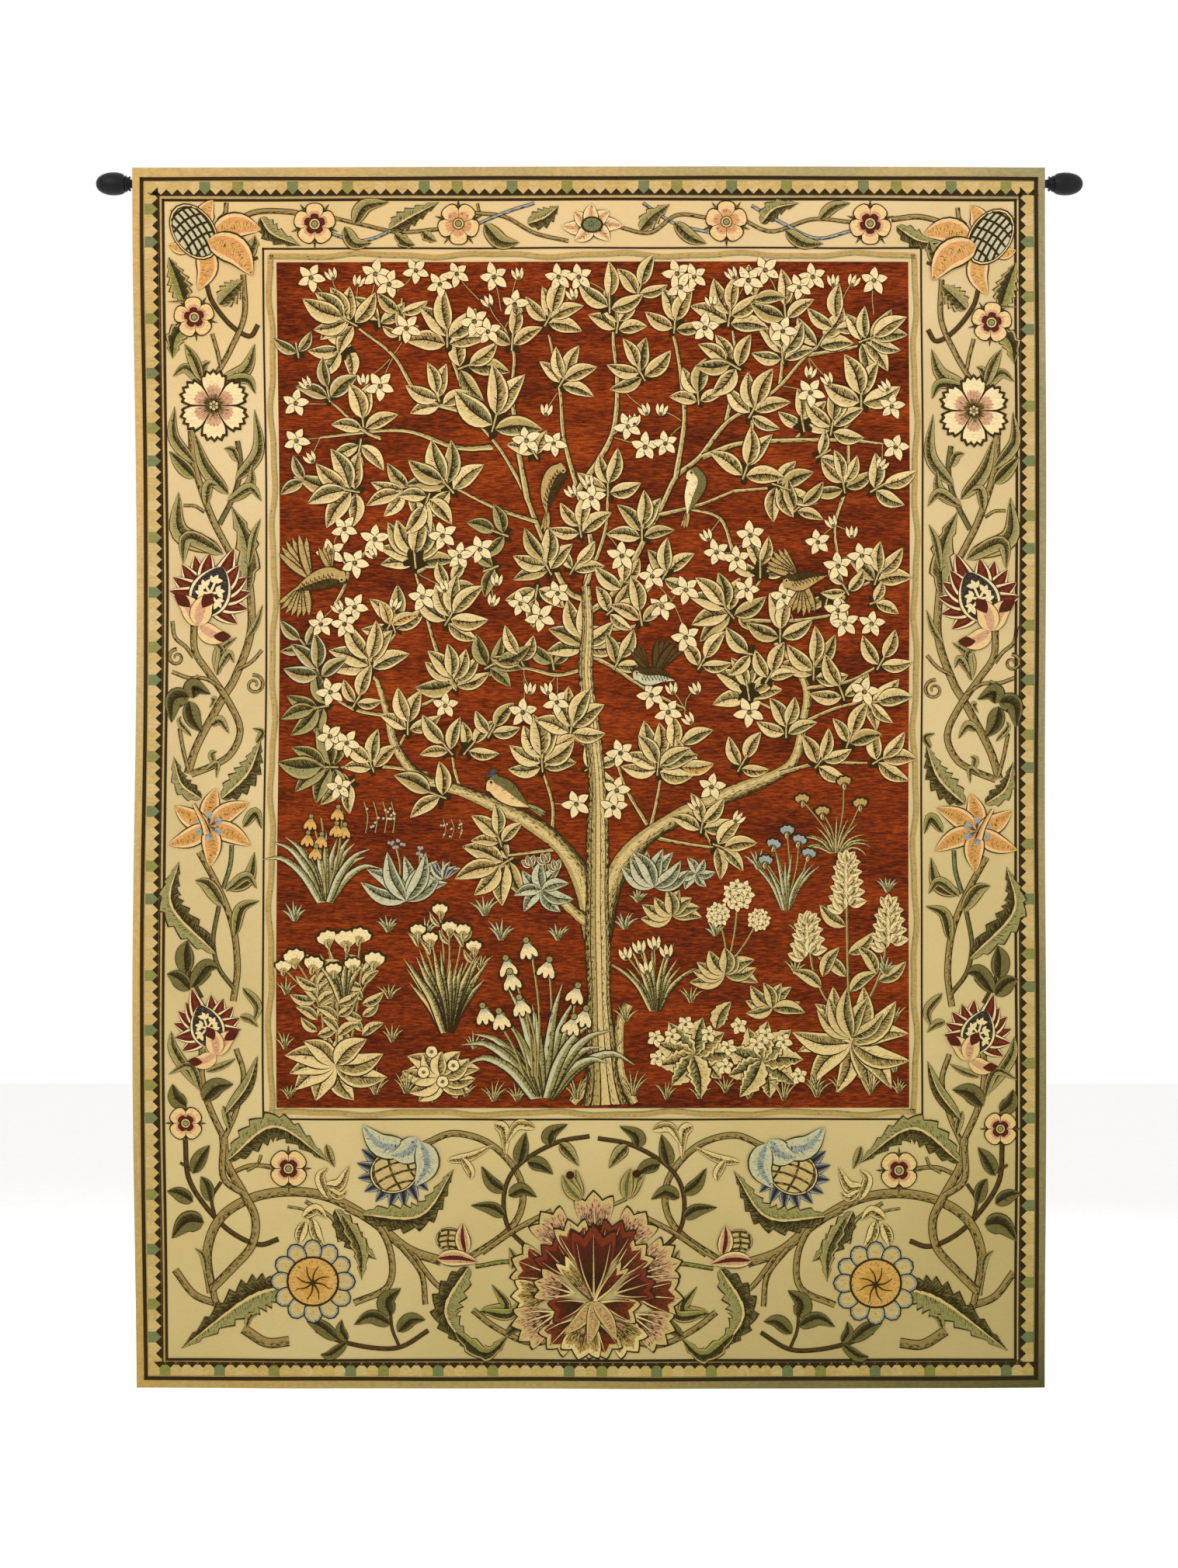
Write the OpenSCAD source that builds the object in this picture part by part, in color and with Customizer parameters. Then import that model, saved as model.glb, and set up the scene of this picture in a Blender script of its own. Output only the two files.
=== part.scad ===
// Woven tapestry wall hanging on a finialled rod with two concealed wall brackets.
// Units are millimetres. +Z is up, +Y points into the wall and the picture faces -Y.
// The origin is on the wall, at the centre of the four wall screws, level with the rod's axis.

/* [Cloth] */
// Width of the hemmed tapestry
cloth_w = 1346; // [1000:1:1500]
// Height of the hemmed tapestry
cloth_h = 1798; // [1200:1:2000]
// Thickness of the woven face cloth
face_t = 1.2; // [0.8:0.1:1.8]
// Width of the face cloth that is turned back as a hem on all four sides
hem_w = 28; // [20:1:50]
// Thickness of the cotton lining and of the sleeve cloth
lining_t = 0.4; // [0.3:0.1:0.6]
// Height of the cloth that stands above the rod's axis
cloth_above_rod = 22; // [20:0.5:40]

/* [Rod sleeve] */
// Length of bare rod hidden behind the cloth at each end of the sleeve
sleeve_short = 63; // [55:1:120]
// Drop from the rod's axis to the sleeve's lower seam
sleeve_drop = 46; // [30:1:80]
// Play between the sleeve and the rod, all round
sleeve_play = 0.5; // [0.4:0.05:1.2]

/* [Rod] */
// Outer diameter of the steel tube
rod_d = 12.7; // [12:0.1:14]
// Wall of the steel tube
rod_wall = 1.2; // [1:0.1:1.6]
// Bare rod that shows between the cloth and each finial
rod_shows = 3.5; // [2:0.5:10]

/* [Finial] */
// Largest diameter of the finial's egg
egg_d = 34; // [30:0.1:44]
// Length of the egg from its collar to its tip
egg_len = 43; // [40:1:60]
// Diameter of the collar's larger ring
ring_d = 24.4; // [22:0.1:28]
// Diameter of the M6 stud that holds the finial
stud_d = 5.9; // [4.9:0.1:6]

/* [Brackets] */
// Distance from the wall to the rod's axis
stand_off = 32; // [26:1:60]
// Distance between the two brackets, screw to screw
bracket_span = 1280; // [1260:1:1290]
// Distance between the two screws of one bracket
screw_gap = 32; // [32:1:34]
// Diameter of each screw hole
screw_hole_d = 4.5; // [4:0.1:6]
// Thickness of the bracket's steel strip
strip_t = 2.5; // [2:0.1:3]

/* [Hidden] */
$fn = 64;

// Bracket sizes
plate_w = 22;
plate_h = screw_gap + 16;
plate_corner = 4;
arm_w = 12;
weld = 2.2;
cradle_play = 0.1;
cradle_r = rod_d / 2 + cradle_play;
cradle_t = 2.2;
lip_h = 2;

// Depths, measured forward of the rod's axis (towards the picture)
layer_gap = 0.9;
lining_back = cradle_r + cradle_t + layer_gap;
lining_front = lining_back + lining_t;
face_back = lining_front + face_t;
face_front = face_back + face_t;
thread_t = 0.3;
thread_w = 0.8;

// Sleeve sizes
sleeve_half = cloth_w / 2 - sleeve_short;
sleeve_in_r = rod_d / 2 + sleeve_play;
sleeve_out_r = sleeve_in_r + lining_t;
sleeve_rise = 9;
seam_top = 3.2;
seam_bottom = 6;

// Lining sizes
lining_inset = 6;
lining_seam_inset = 1;

// Rod and finial sizes
rod_half = cloth_w / 2 + rod_shows;
bore_r = rod_d / 2 - rod_wall;
insert_len = 22;
insert_bore_r = 3.05;
stud_engaged = 12;
stud_in_finial = 15;
glue_gap = 0.05;
end_gap = 0.1;
small_ring_d = ring_d - 2;
ring_w = 3.3;
ring_groove = 2.2;
egg_peak = 17;
egg_dip = 0.9;

// Care label sizes
label_w = 40;
label_h = 26;
label_x = 560;
label_up = 60;

// A flat panel in the cloth's plane: half width, top and bottom from the rod's axis, and
// its back and front as depths forward of the axis.
module panel(half_w, top, bottom, back, front) {
    translate([-half_w, -stand_off - front, bottom])
        cube([2 * half_w, front - back, top - bottom]);
}

// A rectangular frame of one width, made as a panel less its middle.
module panel_frame(half_w, top, bottom, width, back, front) {
    difference() {
        panel(half_w, top, bottom, back, front);
        panel(half_w - width, top - width, bottom + width, back - 1, front + 1);
    }
}

// The woven picture with its four edges turned back behind it.
module face_cloth() {
    top = cloth_above_rod;
    bottom = top - cloth_h;
    color("peru") union() {
        panel(cloth_w / 2, top, bottom, face_back, face_front);
        panel_frame(cloth_w / 2, top, bottom, hem_w, lining_front, face_back + 0.1);
    }
}

// The cotton lining that covers the hems' raw edges.
module lining() {
    top = cloth_above_rod - lining_inset;
    bottom = cloth_above_rod - cloth_h + lining_inset;
    color("antiquewhite")
        panel(cloth_w / 2 - lining_inset, top, bottom, lining_back, lining_front);
}

// The thread that sews the lining to the hems, all the way round.
module lining_seam_thread() {
    inset = lining_inset + lining_seam_inset;
    top = cloth_above_rod - inset;
    bottom = cloth_above_rod - cloth_h + inset;
    color("tan")
        panel_frame(cloth_w / 2 - inset, top, bottom, thread_w,
                    lining_back - thread_t, lining_back);
}

// The angle at which a line from point p touches a circle of radius r about the axis.
function touch(p, r, side) = atan2(p[1], p[0]) + side * acos(r / norm(p));

// Points of an arc round the rod's back, from where a line from p touches it, clockwise to
// where a line to q leaves it.
function hug(p, q, r, steps = 20) =
    let (from = touch(p, r, -1), to = touch(q, r, 1))
    [for (i = [0 : steps]) let (a = from + (to - from) * i / steps) r * [cos(a), sin(a)]];
function reversed(list) = [for (i = [len(list) - 1 : -1 : 0]) list[i]];

// The sleeve's section has +X towards the wall and +Y up, with the rod's axis at 0. These are
// where its outer and inner faces leave the two seams.
near_seam = -lining_back + lining_t;
far_seam = -lining_back;
outer_up = [near_seam, sleeve_rise + lining_t / 2];
outer_down = [near_seam, -sleeve_drop];
inner_up = [far_seam, sleeve_rise - lining_t / 2];
inner_down = [far_seam, -sleeve_drop + 0.1];
outer_hug = hug(outer_up, outer_down, sleeve_out_r);
inner_hug = hug(inner_up, inner_down, sleeve_in_r);

// One stretch of the sleeve: its section drawn along the rod.
module sleeve_stretch(section) {
    color("wheat")
        translate([-sleeve_half, -stand_off, 0])
            rotate([90, 0, 90])
                linear_extrude(height = 2 * sleeve_half) polygon(section);
}

// The sleeve's upper stretch: the flat upper seam, over the rod and round its back.
module rod_sleeve_top() {
    sleeve_stretch(concat([[far_seam, sleeve_rise + seam_top],
                           [near_seam, sleeve_rise + seam_top], outer_up],
                          outer_hug, reversed(inner_hug), [inner_up]));
}

// The sleeve's lower stretch: down from the rod's back to the flat lower seam.
module rod_sleeve_back() {
    sleeve_stretch([outer_hug[len(outer_hug) - 1], outer_down,
                    [near_seam, -sleeve_drop - seam_bottom],
                    [far_seam, -sleeve_drop - seam_bottom],
                    inner_down, inner_hug[len(inner_hug) - 1]]);
}

// One row of sewing thread along the sleeve at a height above or below the rod's axis.
module sleeve_thread(height) {
    back = lining_back - lining_t;
    color("tan")
        panel(sleeve_half - 4, height + thread_w / 2, height - thread_w / 2,
              back - thread_t, back);
}

module sleeve_upper_thread() {
    sleeve_thread(sleeve_rise + seam_top - 1.2);
}

module sleeve_lower_thread() {
    sleeve_thread(-sleeve_drop - seam_bottom / 2);
}

// The blank folded label sewn to the lining's lower corner.
module care_label() {
    bottom = cloth_above_rod - cloth_h + label_up;
    color("white")
        translate([label_x, -stand_off - lining_back, bottom])
            cube([label_w, lining_t, label_h]);
}

// The black steel tube that carries the cloth.
module rod_tube() {
    color([0.1, 0.1, 0.11])
        translate([-rod_half, -stand_off, 0]) rotate([0, 90, 0])
            difference() {
                cylinder(r = rod_d / 2, h = 2 * rod_half);
                translate([0, 0, -1]) cylinder(r = bore_r, h = 2 * rod_half + 2);
            }
}

// The threaded insert pressed into the tube's right end, flush with it.
module rod_insert() {
    color("silver")
        translate([rod_half - insert_len, -stand_off, 0]) rotate([0, 90, 0])
            difference() {
                cylinder(r = bore_r - 0.01, h = insert_len);
                translate([0, 0, -1]) cylinder(r = insert_bore_r, h = insert_len + 2);
            }
}

// The M6 stud, half in the insert and half glued into the finial.
module finial_stud() {
    color("silver")
        translate([rod_half - stud_engaged, -stand_off, 0]) rotate([0, 90, 0])
            cylinder(r = stud_d / 2, h = stud_engaged + stud_in_finial);
}

// The finial's half profile, radius against distance from the rod's end: a groove between
// two round rings, then an egg that is an ellipse on each side of its widest place.
function ring_points(x0, w, r) =
    [for (a = [0 : 15 : 180]) [r - w / 2 + w / 2 * sin(a), x0 + w / 2 - w / 2 * cos(a)]];
function egg_points(x0) =
    let (r0 = ring_d / 2 - egg_dip, r1 = egg_d / 2)
    concat([for (a = [0 : 10 : 90]) [r0 + (r1 - r0) * sin(a), x0 + egg_peak * (1 - cos(a))]],
           [for (a = [8 : 8 : 80])
                [r1 * pow(cos(a), 0.9), x0 + egg_peak + (egg_len - egg_peak) * sin(a)]],
           [[0, x0 + egg_len]]);

// The turned finial with its blind hole for the stud.
module finial() {
    rings = 2 * ring_w + ring_groove;
    color([0.07, 0.06, 0.08])
        translate([rod_half + end_gap, -stand_off, 0]) rotate([0, 90, 0])
            difference() {
                rotate_extrude()
                    polygon(concat([[0, 0]],
                                   ring_points(0, ring_w, small_ring_d / 2),
                                   ring_points(ring_w + ring_groove, ring_w, ring_d / 2),
                                   egg_points(rings)));
                translate([0, 0, -1])
                    cylinder(r = stud_d / 2 + glue_gap, h = stud_in_finial + 1.2);
            }
}

// The bracket's wall plate: two crossed rectangles and four round corners.
module plate_outline() {
    square([plate_w - 2 * plate_corner, plate_h], center = true);
    square([plate_w, plate_h - 2 * plate_corner], center = true);
    for (x = [-1, 1], z = [-1, 1])
        translate([x * (plate_w / 2 - plate_corner), z * (plate_h / 2 - plate_corner)])
            circle(r = plate_corner);
}

// The arm and its cradle in section, with +X towards the wall and the rod's axis at 0: the
// lower half of a ring with two short lips, a flat arm to the plate, and the weld's fillets.
module hook_section() {
    ring_r = cradle_r + cradle_t;
    plate_x = stand_off - strip_t;
    difference() {
        union() {
            circle(r = ring_r);
            translate([-ring_r, 0]) square([2 * ring_r, lip_h]);
            translate([0, -ring_r]) square([plate_x + 0.5, strip_t]);
            polygon([[plate_x - weld, -ring_r + 0.1], [plate_x + 0.5, -ring_r + 0.1],
                     [plate_x + 0.5, -ring_r - weld], [plate_x, -ring_r - weld]]);
            polygon([[plate_x - weld, -ring_r + strip_t - 0.1],
                     [plate_x, -ring_r + strip_t + weld],
                     [plate_x + 0.5, -ring_r + strip_t + weld],
                     [plate_x + 0.5, -ring_r + strip_t - 0.1]]);
        }
        circle(r = cradle_r);
        translate([-cradle_r, 0]) square([2 * cradle_r, ring_r + 1]);
        translate([-ring_r - 1, lip_h]) square([2 * ring_r + 2, ring_r]);
    }
}

// A steel bracket: a plate with two screw holes and, welded to it, a hook that is open at
// the top so that the rod drops in. The side is -1 for left and 1 for right.
module bracket(side) {
    color([0.12, 0.12, 0.13])
        translate([side * bracket_span / 2, 0, 0])
            difference() {
                union() {
                    rotate([90, 0, 0]) linear_extrude(height = strip_t) plate_outline();
                    translate([-arm_w / 2, -stand_off, 0]) rotate([90, 0, 90])
                        linear_extrude(height = arm_w) hook_section();
                }
                for (z = [-screw_gap / 2, screw_gap / 2])
                    translate([0, 1, z]) rotate([90, 0, 0])
                        cylinder(d = screw_hole_d, h = strip_t + 2);
            }
}

face_cloth();
lining();
lining_seam_thread();
rod_sleeve_top();
rod_sleeve_back();
sleeve_upper_thread();
sleeve_lower_thread();
care_label();
rod_tube();
mirror([1, 0, 0]) rod_insert();  // rod_insert_left
rod_insert();  // rod_insert_right
mirror([1, 0, 0]) finial();  // finial_left
finial();  // finial_right
mirror([1, 0, 0]) finial_stud();  // finial_stud_left
finial_stud();  // finial_stud_right
bracket(-1);  // bracket_left
bracket(1);  // bracket_right
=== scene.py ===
# %% [markdown]
# # A woven tapestry on its rod
#
# The object is a lined wall tapestry: a jacquard-woven picture 1.35 m wide and 1.8 m high, with
# a cotton lining and a sleeve on its back, hung from a black steel rod with turned finials.
# The CAD model holds every size. Here it gets its looks: the woven figures, the folds of a
# cloth that hangs from its top edge, the sewing, and the finish of each hard part.
# Lengths on the cloth are centimetres, right of its centre line and up from its bottom edge,
# as a weaver would measure them. Everything else is in metres.

# %% Load the frame
import math
import bpy
import numpy as np
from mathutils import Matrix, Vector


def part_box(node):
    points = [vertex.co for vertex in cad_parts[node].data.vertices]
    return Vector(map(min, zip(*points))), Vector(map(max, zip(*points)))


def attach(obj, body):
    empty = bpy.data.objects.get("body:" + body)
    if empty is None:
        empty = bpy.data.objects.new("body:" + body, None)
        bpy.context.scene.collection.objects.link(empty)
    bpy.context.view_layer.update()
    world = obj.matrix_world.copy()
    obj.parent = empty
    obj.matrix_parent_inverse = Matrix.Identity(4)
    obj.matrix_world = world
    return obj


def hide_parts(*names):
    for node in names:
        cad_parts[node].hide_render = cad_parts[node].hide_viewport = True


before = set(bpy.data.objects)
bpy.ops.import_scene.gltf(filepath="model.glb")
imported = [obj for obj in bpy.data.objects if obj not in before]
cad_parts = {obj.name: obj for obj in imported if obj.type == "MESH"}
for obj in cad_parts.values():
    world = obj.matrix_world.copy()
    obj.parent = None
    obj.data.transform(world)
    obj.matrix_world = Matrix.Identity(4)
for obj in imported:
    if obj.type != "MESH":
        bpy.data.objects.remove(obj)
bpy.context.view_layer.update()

face_low, face_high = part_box("face_cloth")
WIDTH = (face_high[0] - face_low[0]) * 100
HEIGHT = (face_high[2] - face_low[2]) * 100
BOTTOM = face_low[2]
FACE_Y = face_low[1]
chance = np.random.default_rng(54)
print(f"cloth {WIDTH:.1f} x {HEIGHT:.1f} cm, its face at y = {FACE_Y * 1000:.2f} mm")

# %% [markdown]
# ## Camera
# The view is straight on, level with the middle of the cloth, from five metres away, so that
# the sides of the brackets and the finials are hardly seen and verticals stay vertical.

# %% Camera
lens = bpy.data.cameras.new("camera")
camera = bpy.data.objects.new("camera", lens)
bpy.context.collection.objects.link(camera)
DISTANCE = 5.0
SEEN_HIGH = 2.310
lens.sensor_fit = "VERTICAL"
lens.sensor_height = 36.0
lens.lens = lens.sensor_height * DISTANCE / SEEN_HIGH
camera.location = (-0.0006, FACE_Y - DISTANCE, BOTTOM + 0.8897)
camera.rotation_euler = (math.radians(90), 0, 0)
bpy.context.scene.camera = camera
bpy.context.scene.view_settings.view_transform = "Standard"
print(f"lens {lens.lens:.1f} mm")

# %% [markdown]
# ## Colours
# Every colour is a dyed yarn or a real finish, written as the sRGB hex value that a dye card
# would give. Blender mixes light in linear values, so one function does the conversion.

# %% The dye card
def linear(code):
    """sRGB to linear: c / 12.92 near black, else ((c + 0.055) / 1.055) ** 2.4."""
    c = np.array([int(code[i:i + 2], 16) for i in (1, 3, 5)]) / 255
    return np.where(c > 0.04045, ((c + 0.055) / 1.055) ** 2.4, c / 12.92)


YARN = {
    "ink": "#33270F", "navy": "#2C2329", "umber": "#584222", "bark": "#A08A58",
    "tan": "#BC9E66", "straw": "#D0B683", "cream": "#E8CF9B", "ivory": "#F0DCB0",
    "pale": "#D9C18C", "leaf": "#B7A069", "sage": "#9C9564", "moss": "#736B40",
    "pine": "#4E4C2F", "gold": "#D09C53", "amber": "#DBAB66", "peach": "#E9C893",
    "apricot": "#DAA068", "rose": "#D3A386", "brick": "#7E3420", "maroon": "#5E2218",
    "wine": "#481510", "blue": "#9CA5AC", "denim": "#565D71", "mist": "#C9C6AC",
    "teal": "#8F987A", "jade": "#78805A", "olive": "#8E8C50", "sand": "#C9AE75",
}
DYE = {name: linear(code) for name, code in YARN.items()}
print(len(DYE), "yarns on the dye card")

# %% [markdown]
# ## One small node helper
# A material here is a list of nodes. One function adds a node, sets its values and joins its
# inputs, so each material below reads from the fibre up to the shader.

# %% The node helper
def add(tree, kind, settings=None, **inputs):
    """Adds one node. Settings are its own properties; inputs are values or other sockets."""
    node = tree.nodes.new(kind)
    for name, value in (settings or {}).items():
        setattr(node, name, value)
    for name, value in inputs.items():
        key = int(name[1:]) if name[0] == "i" and name[1:].isdigit() else name.replace("_", " ")
        socket = node.inputs[key]
        if isinstance(value, bpy.types.NodeSocket):
            tree.links.new(value, socket)
        elif hasattr(value, "__len__") and len(value) == 3 and socket.type == "RGBA":
            socket.default_value = (*value, 1.0)
        else:
            socket.default_value = value
    return node


def new_material(name):
    """An empty material with a Principled shader that is already joined to its output."""
    material = bpy.data.materials.new(name)
    material.use_nodes = True
    tree = material.node_tree
    tree.nodes.clear()
    shader = add(tree, "ShaderNodeBsdfPrincipled")
    add(tree, "ShaderNodeOutputMaterial", Surface=shader.outputs[0])
    return material, tree, shader


def ramp(tree, factor, stops):
    """A colour ramp through (place, hex code) stops."""
    node = add(tree, "ShaderNodeValToRGB", Fac=factor)
    band = node.color_ramp
    while len(band.elements) < len(stops):
        band.elements.new(0.5)
    for element, (place, code) in zip(band.elements, stops):
        element.position = place
        element.color = (*linear(code), 1.0)
    return node.outputs["Color"]



def streaks(tree, place, across, **look):
    """Noise stretched differently along x, y and z: across gives how often it changes."""
    fitted = add(tree, "ShaderNodeMapping", Vector=place, Scale=across)
    return add(tree, "ShaderNodeTexNoise", Vector=fitted.outputs[0], Scale=1.0,
               **look).outputs["Fac"]

# %% [markdown]
# ## The woven cotton
# A jacquard tapestry has fine warp threads, 2 or 3 to a millimetre, and thicker weft that is
# beaten down over them, so its face is covered with short flat floats that lie across the
# cloth. The eye sees the floats as streaks 3 to 12 mm long and a millimetre high. Real floats
# are 0.5 mm high, which is too fine to show at this size, so they are drawn at twice that.
# All the woven materials share one function for this, and differ in their colours.

# %% Floats and ribs, shared by every woven material
FLOAT_HIGH = 0.0011
FLOAT_LONG = 0.0060
RIB = 0.0024
WEAVE_DEEP = 0.0005


def weave(tree, strength):
    """Streaks of weft from noise stretched across the cloth, and the bump they make."""
    place = add(tree, "ShaderNodeTexCoord").outputs["Object"]
    floats = streaks(tree, place, (1 / FLOAT_LONG, 1 / FLOAT_LONG, 1 / FLOAT_HIGH), Detail=2.0,
                     Roughness=0.6)
    slub = streaks(tree, place, (18.0, 18.0, 330.0), Detail=3.0, Roughness=0.65)
    ribs = streaks(tree, place, (1 / RIB, 1 / RIB, 0.15 / RIB), Detail=1.0)
    height = add(tree, "ShaderNodeMath", {"operation": "ADD"}, i0=floats, i1=ribs)
    bump = add(tree, "ShaderNodeBump", Height=height.outputs[0], Strength=strength,
               Distance=WEAVE_DEEP)
    return place, floats, slub, bump.outputs[0]


def shaded(tree, colour, factor, low, high):
    """Colour times a grey that follows factor from low to high."""
    grey = add(tree, "ShaderNodeMapRange", Value=factor, i1=0.25, i2=0.75, i3=low, i4=high)
    both = add(tree, "ShaderNodeMix", {"data_type": "RGBA", "blend_type": "MULTIPLY"},
               Factor=1.0, i6=colour, i7=grey.outputs[0])
    return both.outputs[2]


def painted_falloff(tree, place, stops):
    """A slow change of tone from the cloth's top left to its bottom right, painted shade that
    darkens
    where the light falls off: the place on the ramp is the height less 0.3 of the way to the right."""
    parts = add(tree, "ShaderNodeSeparateXYZ", Vector=place)
    lean = add(tree, "ShaderNodeMath", {"operation": "MULTIPLY_ADD"}, i0=parts.outputs["X"],
               i1=-0.3, i2=parts.outputs["Z"])
    down = add(tree, "ShaderNodeMapRange", Value=lean.outputs[0], i1=BOTTOM - 0.2,
               i2=BOTTOM + HEIGHT / 100)
    return ramp(tree, down.outputs[0], stops)


def with_painted_shade(tree, place, colour):
    """Woven colour, warm at the top and a little greener towards the bottom, with painted shade
    that darkens it towards the bottom and right.
    """
    tone = painted_falloff(tree, place, [(0.0, "#C9CBAC"), (0.12, "#DEDEBE"), (0.4, "#EFEAD2"),
                                  (0.8, "#FCF8EA"), (1.0, "#FBF2DE")])
    both = add(tree, "ShaderNodeMix", {"data_type": "RGBA", "blend_type": "MULTIPLY"},
               Factor=1.0, i6=colour, i7=tone)
    return both.outputs[2]


def finish_cotton(shader, tree, colour, bump):
    """Matt cotton: no gloss worth naming, and a faint sheen from its fibres."""
    tree.links.new(colour, shader.inputs["Base Color"])
    tree.links.new(bump, shader.inputs["Normal"])
    shader.inputs["Roughness"].default_value = 0.92
    shader.inputs["IOR"].default_value = 1.46
    shader.inputs["Specular IOR Level"].default_value = 0.12
    shader.inputs["Sheen Weight"].default_value = 0.04
    shader.inputs["Sheen Roughness"].default_value = 0.5

# %% [markdown]
# ## The figured weave
# Leaves, flowers, stems and lines are woven in coloured weft with a dark ink-coloured warp
# that comes up in short strokes to shade them, much as an engraver hatches. Each mesh carries
# the yarn's colour and a shade from 0 to 1 at its points. The material turns shade into
# strokes: a stretched noise in the figure's own map, in centimetres, is compared with it.

# %% Material for the woven figures
STROKE_APART = 0.13
STROKE_LONG = 0.75


def figured_weave():
    """Jacquard cotton in many colours: matt and heathered, its shade in fine dark strokes."""
    material, tree, shader = new_material("figured_jacquard_cotton")
    place, floats, slub, bump = weave(tree, 0.30)
    yarn = add(tree, "ShaderNodeAttribute", {"attribute_name": "yarn"}).outputs["Color"]
    shade = add(tree, "ShaderNodeAttribute", {"attribute_name": "shade"}).outputs["Fac"]
    run = add(tree, "ShaderNodeUVMap", {"uv_map": "run"}).outputs[0]
    fitted = add(tree, "ShaderNodeMapping", Vector=run,
                 Scale=(1 / STROKE_APART, 1 / STROKE_LONG, 1.0))
    strokes = add(tree, "ShaderNodeTexNoise", {"noise_dimensions": "2D"},
                  Vector=fitted.outputs[0], Scale=1.0, Detail=1.0).outputs["Fac"]
    mixed = add(tree, "ShaderNodeMath", {"operation": "MULTIPLY_ADD"}, i0=floats, i1=0.35,
                i2=strokes)
    edge = add(tree, "ShaderNodeMapRange", Value=shade, i1=0.0, i2=1.0, i3=0.30, i4=1.02)
    over = add(tree, "ShaderNodeMath", {"operation": "SUBTRACT"}, i0=edge.outputs[0],
               i1=mixed.outputs[0])
    inked = add(tree, "ShaderNodeMapRange", Value=over.outputs[0], i1=-0.10, i2=0.12)
    heather = shaded(tree, yarn, floats, 0.78, 1.16)
    heather = shaded(tree, heather, slub, 0.92, 1.06)
    colour = add(tree, "ShaderNodeMix", {"data_type": "RGBA"}, Factor=inked.outputs[0],
                 i6=heather, i7=DYE["ink"])
    # Painted shade: the figures darken towards the bottom and right of the cloth.
    finish_cotton(shader, tree, with_painted_shade(tree, place, colour.outputs[2]), bump)
    return material


FIGURED = figured_weave()
print("figured weave ready")

# %% [markdown]
# ## How the cloth hangs
# A lined tapestry is stiff along its top, where the sleeve holds it straight, and lower down it
# falls in a few broad folds a few millimetres deep. Its edges aren't ruled lines either: the
# weave pulls in between the places where it was stretched. A cloth simulation of a sheet that
# hangs flat would give nearly nothing, so the folds are a sum of waves that fade out upwards,
# and every layer and figure is laid on this one surface.

# %% The hanging surface
def hang(x, z, lift=0.0):
    """Place on the cloth, in cm, to metres. Depth is the face's plane less lift (mm) and less
    fade(z) * sum of waves(x, z); the outline bows in and out by cosines of 2 to 3 mm."""
    x, z, lift = np.broadcast_arrays(*(np.asarray(a, float) for a in (x, z, lift)))
    side = x / (WIDTH / 2)
    high = z / HEIGHT
    left = 0.28 - 0.33 * np.cos(2 * np.pi * (HEIGHT - z) / 125)
    right = 0.10 + 0.10 * np.cos(2 * np.pi * z / 88)
    edge_x = left * np.clip((1 - side) / 2, 0, 1) - right * np.clip((1 + side) / 2, 0, 1)
    arch = np.sin(np.pi * np.clip(side / 2 + 0.5, 0, 1))
    edge_z = high * 0.16 * arch * (1 + 0.8 * side) - (1 - high) * 0.16 * arch
    fade = np.clip(1 - high, 0, 1) ** 1.1
    folds = fade * (1.5 * np.sin(2 * np.pi * x / 47 + 0.6)
                    + 0.8 * np.sin(2 * np.pi * x / 27 + z / 60)
                    + 0.9 * np.sin(2 * np.pi * (x / 90 + z / 130)))
    depth = FACE_Y - (folds + lift) / 1000
    return np.stack([(x + edge_x) / 100, depth, BOTTOM + (z + edge_z) / 100], axis=-1)


sample = hang(np.linspace(-60, 60, 50), 5.0)[:, 1]
print(f"the hem moves {np.ptp(sample) * 1000:.1f} mm in depth")

# %% [markdown]
# ## Meshes from arrays
# A surface of two parameters is a grid of points, and its faces join neighbours. These helpers
# make the index arrays once for any grid, and put points and faces into a mesh.

# %% Grids and mesh objects
def grid_faces(rows, columns, wrap=False):
    """Quads of a rows by columns grid of points numbered row by row. Wrap joins the last
    row to the first."""
    index = np.arange(rows * columns).reshape(rows, columns)
    if wrap:
        index = np.vstack([index, index[:1]])
    a, b = index[:-1, :-1], index[:-1, 1:]
    c, d = index[1:, 1:], index[1:, :-1]
    return np.stack([a, b, c, d], axis=-1).reshape(-1, 4)


def rim_of(rows, columns):
    """The point numbers round a grid's edge, in order."""
    index = np.arange(rows * columns).reshape(rows, columns)
    return np.concatenate([index[0, :-1], index[:-1, -1], index[-1, :0:-1], index[:0:-1, 0]])


def shell_faces(rows, columns):
    """Faces of a closed thin sheet: one grid, a second one turned round, and a strip of quads
    that joins their rims."""
    count = rows * columns
    ring = rim_of(rows, columns)
    far = ring + count
    return np.vstack([grid_faces(rows, columns), grid_faces(rows, columns)[:, ::-1] + count,
                      np.stack([ring, far, np.roll(far, -1), np.roll(ring, -1)], axis=1)])


def mesh_object(name, points, faces, material, smooth=True):
    """A mesh object at the origin, its faces given as an array of quads or a list."""
    mesh = bpy.data.meshes.new(name)
    mesh.from_pydata(np.asarray(points).reshape(-1, 3), [], [tuple(f) for f in faces])
    mesh.materials.append(material)
    mesh.polygons.foreach_set("use_smooth", np.full(len(mesh.polygons), smooth))
    mesh.update()
    piece = bpy.data.objects.new(name, mesh)
    bpy.context.collection.objects.link(piece)
    return piece

# %% [markdown]
# ## Drawing with two figures
# Nearly every woven motif is one of two things: a strip carried along a smooth line, such as a
# stem, a leaf or a petal, or a fan opened round a centre, such as a rose or a seed head. Both
# are grids divided into bands. A band is (from, to, yarn, shade at from, shade at to). The
# yarn belongs to the faces and not to the points, so it stops sharply where a band ends.

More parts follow.
